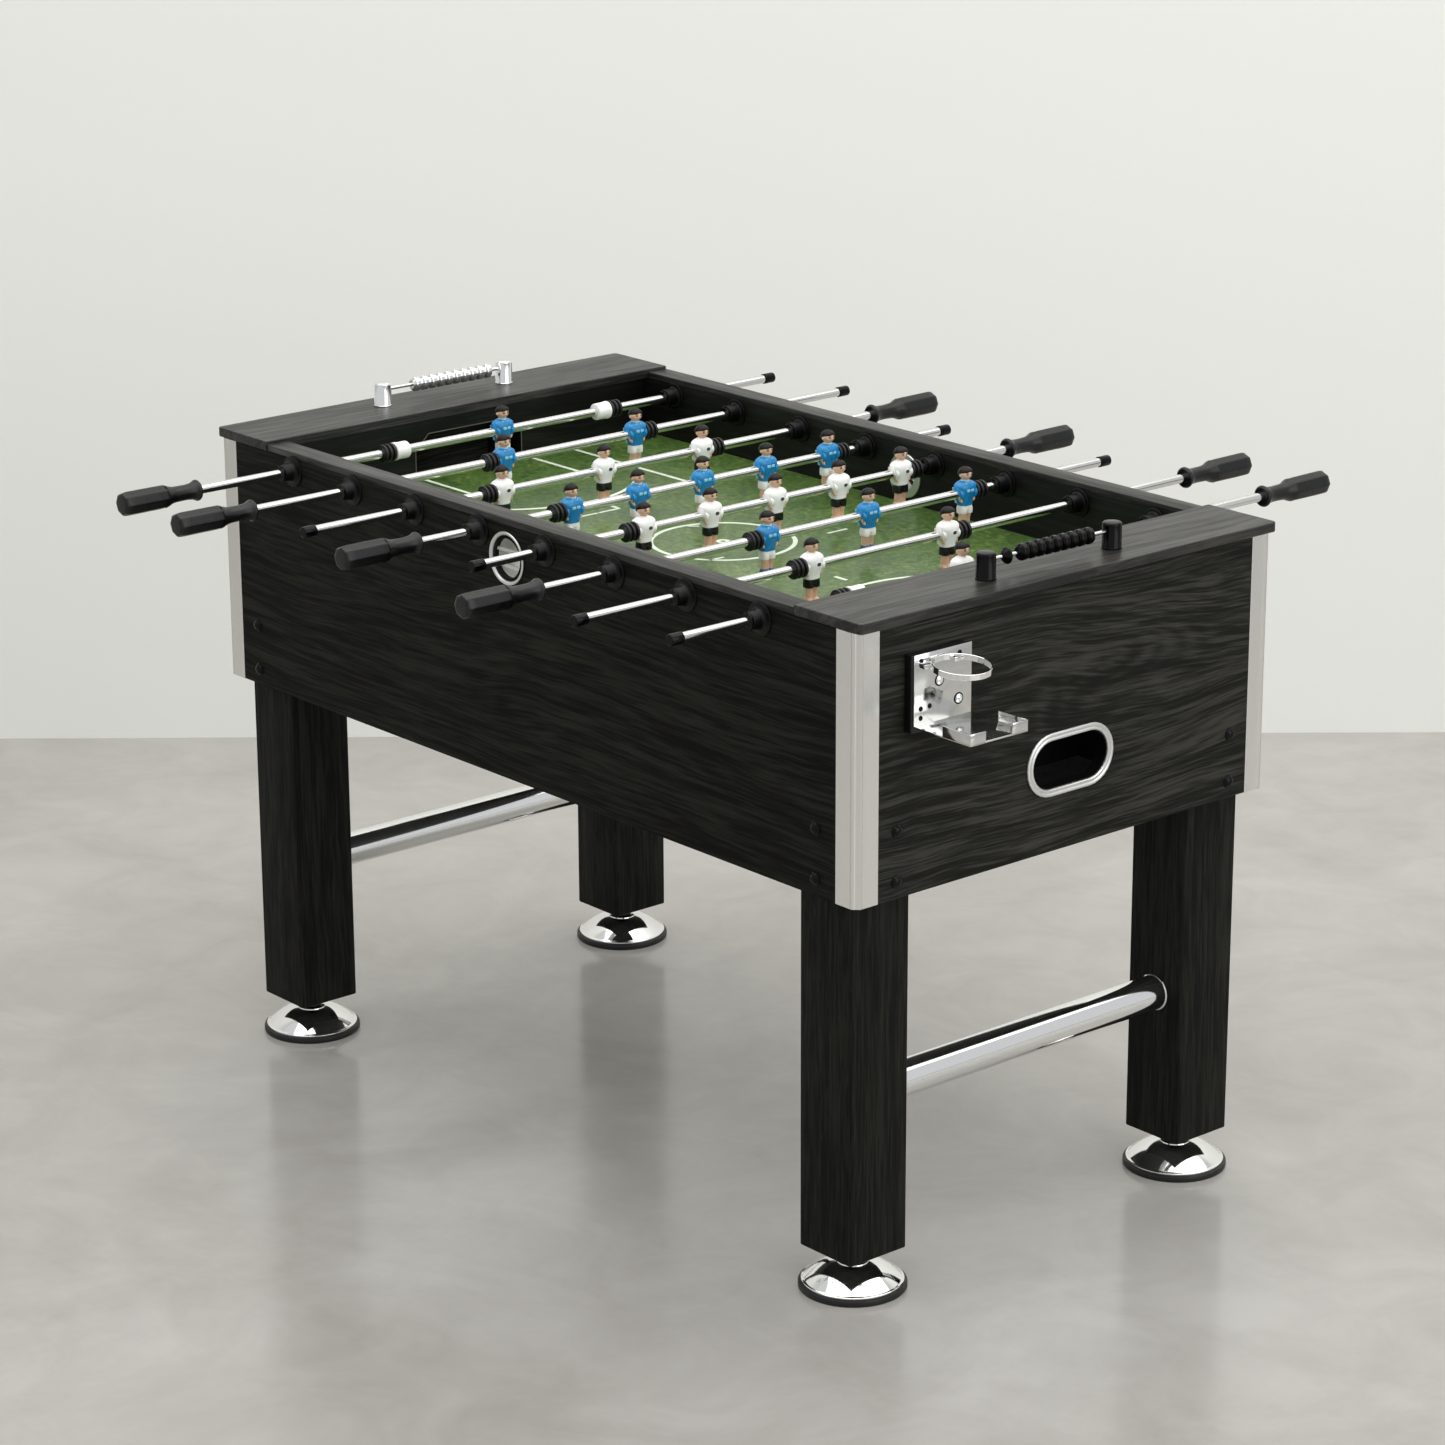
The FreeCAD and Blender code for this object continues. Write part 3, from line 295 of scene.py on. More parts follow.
def grass():
    m = Nodes("printed_grass_field")
    c = m.object_coords()
    big = m.noise(c, 7.0, 3.0, 0.55, 0.4)
    mid = m.noise(c, 105.0, 4.0, 0.6, 0.5)
    tuft = m.noise(m.mapped(scale=(150, 230, 150)), 1.0, 4.0, 0.7)
    blades = m.noise(m.mapped(scale=(900, 420, 600), rotation=(0, 0, 0.5)), 1.0, 3.0, 0.7)
    v = m.math("ADD", m.math("MULTIPLY", big, 0.26), m.math("MULTIPLY", mid, 0.46))
    v = m.math("ADD", v, m.math("MULTIPLY", m.math("SUBTRACT", tuft, 0.5), 0.5))
    v = m.math("ADD", v, 0.15)
    v = m.math("ADD", v, m.math("MULTIPLY", m.math("SUBTRACT", blades, 0.5), 0.3))
    col = m.ramp(v, [(0.36, srgb(30, 52, 18)), (0.47, srgb(56, 86, 32)), (0.57, srgb(88, 116, 52)), (0.70, srgb(140, 150, 88))])
    m.set(color=col, rough=m.remap(tuft, 0.3, 0.7, 0.34, 0.46), spec=0.5, coat=0.3, coat_rough=0.25)
    m.bump(tuft, 0.08, 0.0002)
    return m.mat


MAT["grass"] = grass()


def raw_board():
    m = Nodes("raw_fibreboard")
    a = m.noise(m.object_coords(), 420.0, 4.0, 0.7)
    b = m.noise(m.object_coords(), 22.0, 3.0, 0.6)
    col = m.mix(a, srgb(112, 86, 60), srgb(152, 122, 90))
    col = m.mix(m.remap(b, 0.3, 0.7, 0, 0.35), col, srgb(96, 72, 50))
    m.set(color=col, rough=0.8, spec=0.3)
    m.bump(a, 0.3, 0.0003)
    return m.mat


MAT["raw_board"] = raw_board()


# ---------------------------------------------------------------- mesh making
class Build:
    """Collects closed components in millimetres, each with its material number."""

    def __init__(self):
        self.v, self.f, self.m = [], [], []

    def add(self, verts, faces, mat=0, T=None):
        off = len(self.v)
        for p in verts:
            p = Vector(p)
            self.v.append(T @ p if T is not None else p)
        for k, f in enumerate(faces):
            self.f.append([off + i for i in f])
            self.m.append(mat[k] if isinstance(mat, (list, tuple)) else mat)

    def join(self, other, T=None):
        self.add(other.v, other.f, list(other.m), T)

    def lathe(self, profile, T=None, seg=32, mat=0, ring=False, radius=None):
        """Turns a profile of (r, z) points about Z. A ring profile closes on itself.
        mat may be a list with one number per band. radius(r, angle) may shape the ring."""
        rows, verts, faces, mats = [], [], [], []
        for r, z in profile:
            if r < 1e-6 and not ring:
                rows.append([len(verts)])
                verts.append((0, 0, z))
                continue
            row = []
            for k in range(seg):
                a = 2 * PI * k / seg if radius is None else ANGLES[k]
                q = r if radius is None else radius(r, a)
                row.append(len(verts))
                verts.append((q * math.cos(a), q * math.sin(a), z))
            rows.append(row)
        pairs = list(zip(range(len(rows) - 1), range(1, len(rows))))
        if ring:
            pairs.append((len(rows) - 1, 0))
        for band, (i, j) in enumerate(pairs):
            a, b = rows[i], rows[j]
            mm = mat[band] if isinstance(mat, (list, tuple)) else mat
            if len(a) == 1 and len(b) == 1:
                continue
            n = max(len(a), len(b))
            for k in range(n):
                k2 = (k + 1) % n
                if len(a) == 1:
                    faces.append([a[0], b[k2], b[k]])
                elif len(b) == 1:
                    faces.append([a[k], a[k2], b[0]])
                else:
                    faces.append([a[k], a[k2], b[k2], b[k]])
                mats.append(mm)
        self.add(verts, faces, mats, T)

    def loft(self, rings, mat=0, T=None, caps=(True, True)):
        """Skins a list of rings of equal length. A ring may be one point. mat may be a list with one number per band."""
        verts, faces, mats, rows = [], [], [], []
        for ring in rings:
            rows.append(list(range(len(verts), len(verts) + len(ring))))
            verts += [tuple(p) for p in ring]
        for i in range(len(rows) - 1):
            a, b = rows[i], rows[i + 1]
            n = max(len(a), len(b))
            mm = mat[i] if isinstance(mat, (list, tuple)) else mat
            for k in range(n):
                k2 = (k + 1) % n
                if len(a) == 1:
                    faces.append([a[0], b[k2], b[k]])
                elif len(b) == 1:
                    faces.append([a[k], a[k2], b[0]])
                else:
                    faces.append([a[k], a[k2], b[k2], b[k]])
                mats.append(mm)
        m0 = mat[0] if isinstance(mat, (list, tuple)) else mat
        m1 = mat[-1] if isinstance(mat, (list, tuple)) else mat
        if caps[0] and len(rows[0]) > 2:
            faces.append(list(reversed(rows[0])))
            mats.append(m0)
        if caps[1] and len(rows[-1]) > 2:
            faces.append(rows[-1])
            mats.append(m1)
        self.add(verts, faces, mats, T)

    def rbox(self, lo, hi, r=1.0, seg=2, mat=0, T=None):
        """A box with rounded edges."""
        bm = bmesh.new()
        bmesh.ops.create_cube(bm, size=1.0)
        for v in bm.verts:
            v.co = Vector([(lo[k] + hi[k]) / 2 + v.co[k] * (hi[k] - lo[k]) for k in range(3)])
        if r > 0:
            bmesh.ops.bevel(bm, geom=list(bm.edges), offset=r, segments=seg, profile=0.5, affect="EDGES")
        bm.verts.index_update()
        self.add([v.co.copy() for v in bm.verts], [[v.index for v in f.verts] for f in bm.faces], mat, T)
        bm.free()

    def prism(self, poly, z0, z1, c=0.4, mat=0, T=None):
        """A polygon raised along Z, with a small chamfer c round both ends."""
        n = len(poly)
        area = sum(poly[i][0] * poly[(i + 1) % n][1] - poly[(i + 1) % n][0] * poly[i][1] for i in range(n))
        if area < 0:
            poly = list(reversed(poly))

        def inset(d):
            out = []
            for i in range(n):
                p0, p1, p2 = Vector(poly[i - 1]), Vector(poly[i]), Vector(poly[(i + 1) % n])
                a, b = (p1 - p0).normalized(), (p2 - p1).normalized()
                na, nb = Vector((-a.y, a.x)), Vector((-b.y, b.x))
                s = na + nb
                if s.length < 1e-6:
                    out.append(p1 + na * d)
                    continue
                s.normalize()
                out.append(p1 + s * (d / max(0.5, s.dot(na))))
            return out

        if c > 0:
            rows = [[(p[0], p[1], z0) for p in inset(c)], [(p[0], p[1], z0 + c) for p in poly],
                    [(p[0], p[1], z1 - c) for p in poly], [(p[0], p[1], z1) for p in inset(c)]]
        else:
            rows = [[(p[0], p[1], z0) for p in poly], [(p[0], p[1], z1) for p in poly]]
        self.loft(rows, mat, T)

    def sweep(self, path, section, mat=0, T=None, closed=False, up=(0, 0, 1)):
        """Carries a closed (u, v) section along a path; v follows up, u lies across."""
        n = len(path)
        rings = []
        upv = Vector(up)
        for i in range(n):
            if closed:
                t = (Vector(path[(i + 1) % n]) - Vector(path[i - 1])).normalized()
            else:
                t = (Vector(path[min(i + 1, n - 1)]) - Vector(path[max(i - 1, 0)])).normalized()
            side = t.cross(upv).normalized()
            w = side.cross(t).normalized()
            rings.append([Vector(path[i]) + side * u + w * v for u, v in section])
        if closed:
            rings.append(rings[0])
            self.loft(rings, mat, T, (False, False))
        else:
            self.loft(rings, mat, T)


FACET = [-21, -11, 0, 11, 21]
ANGLES = [math.radians(45 * k + d + 22.5) for k in range(8) for d in FACET]


def octagon(r, a):
    """Radius of an octagon of corner radius r, with its flats facing along the axes."""
    d = ((a - math.radians(22.5) + PI / 8) % (PI / 4)) - PI / 8
    return r * math.cos(PI / 8) / math.cos(d)


def piece(name, b, body, reps=(), mats=(), sharp=34, weld=False):
    me = bpy.data.meshes.new(name)
    me.from_pydata([tuple(c * MM for c in p) for p in b.v], [], b.f)
    for x in mats:
        me.materials.append(MAT[x])
    me.polygons.foreach_set("material_index", b.m)
    bm = bmesh.new()
    bm.from_mesh(me)
    bmesh.ops.remove_doubles(bm, verts=bm.verts, dist=1e-7)
    bmesh.ops.recalc_face_normals(bm, faces=bm.faces)
    bm.to_mesh(me)
    bm.free()
    me.polygons.foreach_set("use_smooth", [True] * len(me.polygons))
    me.set_sharp_from_angle(angle=math.radians(sharp))
    me.update()
    o = bpy.data.objects.new(name, me)
    bpy.context.scene.collection.objects.link(o)
    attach(o, body)
    if reps:
        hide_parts(*reps)
    return o


def move(x=0.0, y=0.0, z=0.0):
    return Matrix.Translation((x, y, z))


def turn(deg, axis):
    return Matrix.Rotation(math.radians(deg), 4, axis)


def along_y(x, y, z, s):
    """Local Z becomes s times Y."""
    return move(x, y, z) @ turn(-90 * s, "X")


def along_x(x, y, z, s):
    """Local Z becomes s times X."""
    return move(x, y, z) @ turn(90 * s, "Y")


def rounded(r, z0, z1, c=0.6):
    """Profile of a plain disc or rod with its edges rounded."""
    return [(0, z0), (r - c, z0), (r - 0.3 * c, z0 + 0.3 * c), (r, z0 + c), (r, z1 - c), (r - 0.3 * c, z1 - 0.3 * c), (r - c, z1), (0, z1)]


HALF_TURN = turn(180, "Z")
QUARTERS = [(1, -1), (1, 1), (-1, -1), (-1, 1)]


# ------------------------------------------------------------------- figures
def oval(cx, cy, z, front, back, half, power=2.4, n=28):
    """A rounded ring in the XY plane: front and back reach along X, half along Y."""
    pts = []
    for k in range(n):
        a = 2 * PI * k / n
        c, s = math.cos(a), math.sin(a)
        x = math.copysign(abs(c) ** (2 / power), c)
        y = math.copysign(abs(s) ** (2 / power), s)
        pts.append((cx + x * (front if x > 0 else back), cy + y * half, z))
    return pts


def bell(x, w):
    return math.exp(-(x / w) ** 2)


def head_radius(la, lo):
    """Head form by latitude and longitude: longitude 0 is the front."""
    x = math.cos(la) * math.cos(lo)
    y = math.cos(la) * math.sin(lo)
    z = math.sin(la)
    r = 1.0
    front = max(0.0, x)
    r += 0.17 * bell(y, 0.17) * bell(z + 0.12, 0.2) * front            # nose
    r += 0.05 * bell(y, 0.6) * bell(z - 0.22, 0.16) * front            # brow
    r -= 0.07 * (bell(y - 0.34, 0.18) + bell(y + 0.34, 0.18)) * bell(z - 0.04, 0.15) * front   # eye hollows
    r += 0.05 * bell(y, 0.3) * bell(z + 0.42, 0.12) * front            # mouth
    r += 0.08 * bell(y, 0.3) * bell(z + 0.78, 0.2) * front             # chin
    r += 0.04 * (bell(y - 0.5, 0.2) + bell(y + 0.5, 0.2)) * bell(z + 0.15, 0.2) * front        # cheeks
    return r


def figure(shirt, shorts, boots, trim, chest_mark):
    """One player about the rod's axis, facing +X. The numbers are material numbers."""
    b = Build()
    SKIN, HAIR, EYE, LIP = 4, 5, 6, 7
    # shirt
    levels = [(-17.2, 7.6, 7.6, 9.6), (-16.9, 8.5, 8.5, 10.9), (-15.6, 8.9, 8.9, 11.4), (-14.2, 8.7, 8.7, 11.3), (-10, 8.9, 8.9, 11.7),
              (-4, 9.4, 9.3, 12.6), (1, 9.9, 9.6, 13.4), (6, 10.2, 9.6, 14.4), (9.8, 9.7, 9.2, 15.0), (12.6, 8.7, 8.5, 14.4),
              (15.0, 7.3, 7.4, 12.0), (16.6, 6.0, 6.2, 9.0), (17.6, 5.0, 5.2, 6.6), (18.0, 4.3, 4.5, 4.9)]
    b.loft([oval(0, 0, z, f, k, h, 2.5) for z, f, k, h in levels], shirt)
    # arms held against the sides, sleeves with a trim band
    for s in (-1, 1):
        arm = [(13.6, 10.6, 0.0, 1.8, 1.8), (12.4, 11.4, 0.0, 3.8, 3.2), (8.6, 12.5, 0.2, 5.0, 3.4), (3.5, 12.6, 0.4, 5.0, 3.3),
               (2.6, 12.6, 0.4, 5.2, 3.5), (-0.4, 12.3, 0.8, 5.1, 3.4), (-1.2, 12.2, 0.9, 4.4, 2.8)]
        b.loft([oval(cx, s * cy, z, fx, fx, hy, 2.2, 16) for z, cy, cx, fx, hy in reversed(arm)], shirt)
        fore = [(1.0, 12.2, 1.0, 3.6, 2.5), (-3.0, 11.9, 2.0, 3.6, 2.4), (-7.5, 11.5, 3.6, 3.1, 2.2), (-9.6, 11.1, 4.6, 2.8, 2.0), (-11.6, 10.8, 5.2, 1.7, 1.3)]
        b.loft([oval(cx, s * cy, z, fx, fx, hy, 2.2, 14) for z, cy, cx, fx, hy in reversed(fore)], SKIN)
        # stripe down the side of the shirt
        stripe = [(cx, s * y, z) for cx, y, z in ((-5.0, 13.9, 8.6), (-5.2, 13.2, 4), (-5.4, 12.4, -2), (-5.5, 11.6, -8), (-5.4, 11.5, -14))]
        sec = [(1.5 * math.cos(a), 0.55 * math.sin(a)) for a in [2 * PI * k / 10 for k in range(10)]]
        rings = []
        for p in stripe:
            rings.append([(p[0] + 2.0 * u / 1.5, p[1] + s * v - s * 0.2, p[2]) for u, v in sec])
        b.loft(rings, trim)
        for q in (12.2, -0.6):
            pass
        b.lathe([(3.0, -1.4), (4.2, -1.1), (4.4, 0), (4.2, 0.9), (3.0, 1.2)], move(0.8, s * 12.2, -0.2) @ Matrix.Diagonal((1.18, 0.82, 0.7, 1)), 18, trim, True)
    # collar
    b.lathe([(3.9, -0.8), (5.0, -1.1), (5.7, -0.4), (5.6, 0.6), (4.8, 1.4), (4.1, 1.2)], move(0.1, 0, 17.4) @ turn(8, "Y") @ Matrix.Diagonal((1.0, 1.08, 1, 1)), 24, trim, True)
    # V of the collar; further down the chest, a dark badge on the white team and two pale patches of painted highlight
    # on the blue team
    for s in (-1, 1):
        pts = [(8.0 - 0.10 * k, s * (4.4 - 0.72 * k), 15.2 - 1.15 * k) for k in range(6)]
        path = [(6.35 + 0.50 * k, s * (4.2 - 0.78 * k), 15.6 - 0.95 * k) for k in range(6)]
        b.sweep(path, [(0.75 * math.cos(a), 0.5 * math.sin(a)) for a in [2 * PI * k / 8 for k in range(8)]], trim, up=(1, 0, 0.3))
    if chest_mark == "dark":
        b.lathe(rounded(2.6, 0, 1.3, 0.3), move(9.4, 2.4, 3.0) @ turn(90, "Y") @ turn(10, "X"), 18, 8)
        b.lathe([(2.65, 0.2), (3.05, 0.2), (3.05, 1.35), (2.65, 1.35)], move(9.4, 2.4, 3.0) @ turn(90, "Y") @ turn(10, "X"), 18, shirt, True)
    else:
        # two pale patches on the chest: painted highlights on the blue shirt
        for y in (-3.1, 3.1):
            b.rbox((8.8, y - 2.5, 3.0), (10.5, y + 2.5, 7.0), 0.6, 2, trim)
    # hub round the rod and its fixing screw
    for s in (-1, 1):
        b.lathe([(6.5, 9), (9.0, 9), (9.35, 12.2), (9.1, 12.9), (8.6, 13.0), (6.5, 13.0)], along_y(0, 0, 0, s), 28, shirt, True)
    b.lathe([(0, 0), (2.4, 0), (2.4, 0.6), (1.9, 1.1), (1.0, 1.2), (0.9, 0.5), (0, 0.5)], along_x(-8.9, 0, 0, -1), 16, EYE)
    # neck
    b.loft([oval(0.2, 0, z, r, r, r, 2.0, 20) for z, r in ((15.5, 4.6), (18.2, 4.3), (20.0, 4.2), (22.6, 4.6))], SKIN)
    # head
    R = 8.1
    rows = []
    nla, nlo = 22, 28
    for i in range(nla + 1):
        la = -PI / 2 + PI * i / nla
        if i in (0, nla):
            rows.append([(0, 0, R * 1.04 * math.sin(la) * head_radius(la, PI))])
            continue
        rows.append([(R * 0.97 * math.cos(la) * math.cos(lo) * head_radius(la, lo) - 0.2,
                      R * 0.87 * math.cos(la) * math.sin(lo) * head_radius(la, lo) * (1.0 - 0.10 * max(0, -math.sin(la))),
                      R * 1.04 * math.sin(la) * head_radius(la, lo)) for lo in [2 * PI * k / nlo for k in range(nlo)]])
    T = move(0.9, 0, 27.2) @ turn(4, "Y") @ Matrix.Diagonal((1.2, 1.3, 1.05, 1))
    b.loft(rows, SKIN, T)
    # hair cap: proud of the head above the hairline and hidden under it below
    rows = []
    for i in range(nla + 1):
        la = -PI / 2 + PI * i / nla
        ring = []
        for k in range(nlo):
            lo = 2 * PI * k / nlo
            front = math.cos(lo)
            line = 0.42 * max(0, front) ** 0.6 - 0.55 * max(0, -front) ** 0.7 + 0.06 * math.sin(5 * lo + 1.2) * max(0, front)
            if abs(abs(math.atan2(math.sin(lo), math.cos(lo))) - PI / 2) < 0.38:
                line += 0.10
            t = min(1, max(0, (math.sin(la) - line) / 0.16 + 0.5))
            lift = -0.09 + 0.24 * t * t * (3 - 2 * t) + 0.018 * math.sin(11 * lo + 4 * la) * t + 0.14 * t * bell(la - 0.8, 0.4) * bell(math.atan2(math.sin(lo), math.cos(lo)), 0.8)
            q = R * (1 + lift)
            ring.append((q * 0.97 * math.cos(la) * math.cos(lo) - 0.3, q * 0.88 * math.cos(la) * math.sin(lo), q * 1.03 * math.sin(la)))
        if i in (0, nla):
            ring = [(0, 0, ring[0][2])]
        rows.append(ring)
    b.loft(rows, HAIR, T)
    # ears
    for s in (-1, 1):
        b.lathe([(0, -0.9), (1.2, -0.8), (1.9, -0.2), (1.9, 0.4), (1.3, 0.9), (0.5, 0.6), (0, 0.4)],
                T @ move(-0.4, s * 6.9, -0.9) @ turn(-90 * s, "X") @ turn(14, "Y") @ Matrix.Diagonal((0.8, 1.15, 1, 1)), 14, SKIN)
    # eyes, brows, mouth
    for s in (-1, 1):
        b.lathe([(0, -0.5), (1.0, -0.3), (1.15, 0.1), (0.7, 0.45), (0, 0.55)], T @ move(7.0, s * 2.75, 0.5) @ turn(90, "Y") @ turn(-20 * s, "X") @ Matrix.Diagonal((0.62, 1.1, 1, 1)), 12, EYE)
        b.rbox((6.9, s * 2.8 - 1.5, 2.0), (7.75, s * 2.8 + 1.5, 2.6), 0.25, 1, HAIR, T)
    b.lathe([(0, -0.4), (1.4, -0.3), (1.6, 0.1), (1.0, 0.4), (0, 0.45)], T @ move(7.2, 0, -3.4) @ turn(90, "Y") @ Matrix.Diagonal((0.3, 1.1, 1, 1)), 12, LIP)
    # shorts: hips and two legs
    b.loft([oval(0, 0, z, f, f, h, 2.6) for z, f, h in ((-23.5, 7.0, 9.6), (-22.5, 8.0, 10.9), (-18, 8.2, 11.1), (-15.5, 8.0, 10.8), (-13, 7, 9.8))], shorts)
    for s in (-1, 1):
        b.loft([oval(0.1, s * 5.5, z, f, f, h, 2.5, 20) for z, f, h in ((-29.2, 6.6, 4.4), (-28.9, 7.4, 5.2), (-27.5, 7.8, 5.5), (-21, 7.9, 5.5), (-18, 7, 5))], shorts)
        # leg: thigh, knee, calf
        b.loft([oval(cx, s * 5.3, z, f, f, h, 2.2, 18) for z, cx, f, h in ((-45.5, -0.4, 3.9, 3.6), (-43, -0.6, 4.1, 3.8), (-39.5, -0.8, 4.6, 4.2), (-36.5, -0.4, 4.3, 4.0),
                                                                     (-33.5, 0.5, 4.6, 4.2), (-31.5, 0.5, 4.8, 4.3), (-28.5, 0.2, 5.3, 4.6), (-25, 0, 5.2, 4.5))], SKIN)
        # boot
        rows = []
        for x, w, h in ((-6.3, 2.2, 3.0), (-5.9, 3.6, 6.0), (-4.5, 4.3, 9.6), (-1.5, 4.5, 11.2), (1.5, 4.5, 10.8), (4.5, 4.5, 8.2), (7.5, 4.4, 6.0), (9.6, 3.6, 4.4), (10.4, 2.0, 2.8)):
            ring = []
            for k in range(16):
                a = 2 * PI * k / 16
                c, q = math.cos(a), math.sin(a)
                ring.append((x, s * 5.2 + w * math.copysign(abs(c) ** 0.75, c), -53.1 + h * 0.5 + h * 0.5 * math.copysign(abs(q) ** 0.75, q)))
            rows.append(ring)
        b.loft(rows, boots)
    # web between the legs and the striking block
    b.rbox((-2.2, -2.4, -50), (2.0, 2.4, -27), 0.8, 2, SKIN)
    b.rbox((-5.2, -2.2, -52.6), (8.6, 2.2, -46.0), 1.0, 2, boots)
    # the build is broad in the shoulders and short in the leg
    out = []
    for p in b.v:
        k = min(1.0, max(0.0, (p.z + 16) / 20)) if p.z < 18.4 else 0.0
        k = 1 + 0.17 * k * k * (3 - 2 * k)
        out.append(Vector((p.x * k, p.y * k, p.z if p.z > -23 else -23 + (p.z + 23) * 0.905)))
    b.v = out
    return b


FIG_MATS_BLUE = ["blue_shirt", "white_shirt", "boot_blue", "pale_blue", "skin", "hair", "eye", "lip", "chest_mark"]
FIG_MATS_WHITE = ["white_shirt", "black_shorts", "boot_white", "white_paint", "skin", "hair", "eye", "lip", "chest_mark"]
# the blue team's pale chest patches are painted highlights
blue_man = figure(0, 1, 2, 3, "chest_highlight_patches")
white_man = figure(0, 1, 2, 3, "dark")

# ----------------------------------------------------------------------- rods
RODS = [(-1, 1, 4, 654.3, 530.7), (-1, 2, 17, 660.5, 555.5), (1, 3, -37, 597.8, 554.2), (-1, 5, 24, 594.8, 495.2),
        (1, 5, 33, 599.3, 490.7), (-1, 3, 74, 615.6, 536.4), (1, 2, -35, 665.5, 550.5), (1, 1, -24, 668.9, 516.1)]
PITCH = {1: 0, 2: 242, 3: 181, 5: 117}
ROD_Z = 887.2
BLUE = (1, 2, 4, 6)

for i, (side, n, mid, hend, cend) in enumerate(RODS, 1):
    X = (i - 4.5) * 143
    ys = [mid + (j - (n - 1) / 2) * PITCH[n] for j in range(n)]
    body = f"rod{i}"
    blue = i in BLUE
    # tube
    b = Build()
    inner = side * (hend - 12)
    outer = -side * (cend - 3)
    lo, hi = min(inner, outer), max(inner, outer)
    b.lathe([(4.55, lo), (5.9, lo), (6.35, lo + 0.5), (6.35, hi - 0.5), (5.9, hi), (4.55, hi)], along_y(X, 0, ROD_Z, 1), 40, 0, True)
    piece(f"rod{i}_tube_polished", b, body, (f"rod{i}_tube",), ["rod_steel"])
    # men
    b = Build()
    for y in ys:
        b.join(blue_man if blue else white_man, move(X, y, ROD_Z))
    piece(f"rod{i}_players", b, body, (f"rod{i}_men",), FIG_MATS_BLUE if blue else FIG_MATS_WHITE, 40)
    # handle, cap, bumpers, stops
    b = Build()
    T = along_y(X, side * (hend - 126), ROD_Z, side)
    b.lathe([(6.6, 0.0), (12.2, 0.0), (13.4, 0.8), (14.6, 2.2), (15.0, 3.4), (14.8, 4.6), (13.9, 6.2), (12.6, 9.0), (11.6, 13.0), (11.0, 18.0), (10.8, 24.0),
             (11.0, 34.0), (11.3, 41.0), (12.0, 45.0), (13.4, 49.5), (15.0, 53.0), (16.0, 56.5)], T, 40, 0, radius=lambda r, a: r)
    # the grip carries on from the shoulder, as an eight-sided body
    b.lathe([(15.9, 56.0), (16.6, 58.5), (16.9, 64.0), (17.0, 80.0), (17.1, 96.0), (17.2, 112.0), (17.1, 119.0), (16.4, 122.6), (15.2, 124.6), (13.0, 125.8), (10.5, 126.0), (0, 126.0)], T, 40, 0, radius=octagon)
    b.lathe([(6.6, 0.0), (6.6, 12.0), (0, 12.0)], T, 40, 0, radius=lambda r, a: r)
    # cap
    T = along_y(X, -side * (cend - 20), ROD_Z, -side)
    b.lathe([(6.5, 0), (7.3, 0), (7.7, 0.5), (7.7, 3.0), (7.35, 3.4), (7.35, 4.0), (7.7, 4.4), (7.7, 17.6), (7.3, 19.2), (6.2, 19.9), (0, 20.0)], T, 28, 1)
    b.lathe([(6.5, 0), (6.5, 16.0), (0, 16.0)], T, 28, 1)
    goalie = n == 1
    bump_at = []
    for s in (-1, 1):
        if goalie:
            bump_at.append((mid + s * 198, s))
            T = along_y(X, mid + s * 174, ROD_Z, s)
            b.lathe([(6.4, 0), (11.0, 0), (11.9, 0.4), (12.3, 1.2), (12.4, 2.6), (12.4, 17.6), (12.5, 18.2), (12.9, 18.6),
                     (13.1, 19.4), (13.1, 22.8), (12.6, 23.6), (11.6, 24.0), (6.4, 24.0)], T, 36, 3, True)
            b.lathe([(0, 0), (2.0, 0), (2.2, 0.5), (1.8, 1.0), (0.8, 1.0), (0.8, 0.4), (0, 0.4)], move(X, mid + s * 186, ROD_Z) @ turn(70, "Y") @ move(0, 0, 10.2), 12, 1)
        else:
            edge = max(ys) if s > 0 else min(ys)
            bump_at.append((edge + s * 14, s))
    for y, s in bump_at:
        T = along_y(X, y, ROD_Z, s)
        prof = [(6.4, 0.0), (8.8, 0.0), (9.4, 0.5)]
        for z in (0.9, 8.3, 15.7):
            prof += [(9.6, z), (11.6, z + 0.1), (12.6, z + 0.6), (13.0, z + 1.5), (13.0, z + 2.9), (12.6, z + 3.8), (11.6, z + 4.3), (9.6, z + 4.4)]
        prof += [(9.4, 20.6), (8.8, 21.0), (6.4, 21.0)]
        b.lathe(prof, T, 36, 2, True)
    piece(f"rod{i}_handle_and_stops", b, body, (f"rod{i}_fittings",), ["plastic_black", "plastic_gloss", "rubber", "white_paint"], 30)
    # turning sleeves
    b = Build()
    for s in (-1, 1):
        T = along_y(X, 0, ROD_Z, s)
        b.lathe([(6.45, 309.2), (10.4, 309.2), (11.0, 309.8), (11.0, 311.1), (10.4, 311.7), (9.0, 311.7), (9.0, 388.3), (10.4, 388.3), (11.0, 388.9), (11.0, 390.2), (10.4, 390.8), (6.45, 390.8)], T, 36, 0, True)
    piece(f"rod{i}_sleeves", b, f"rod{i}_bearings", (f"rod{i}_bushes",), ["plastic_gloss"])

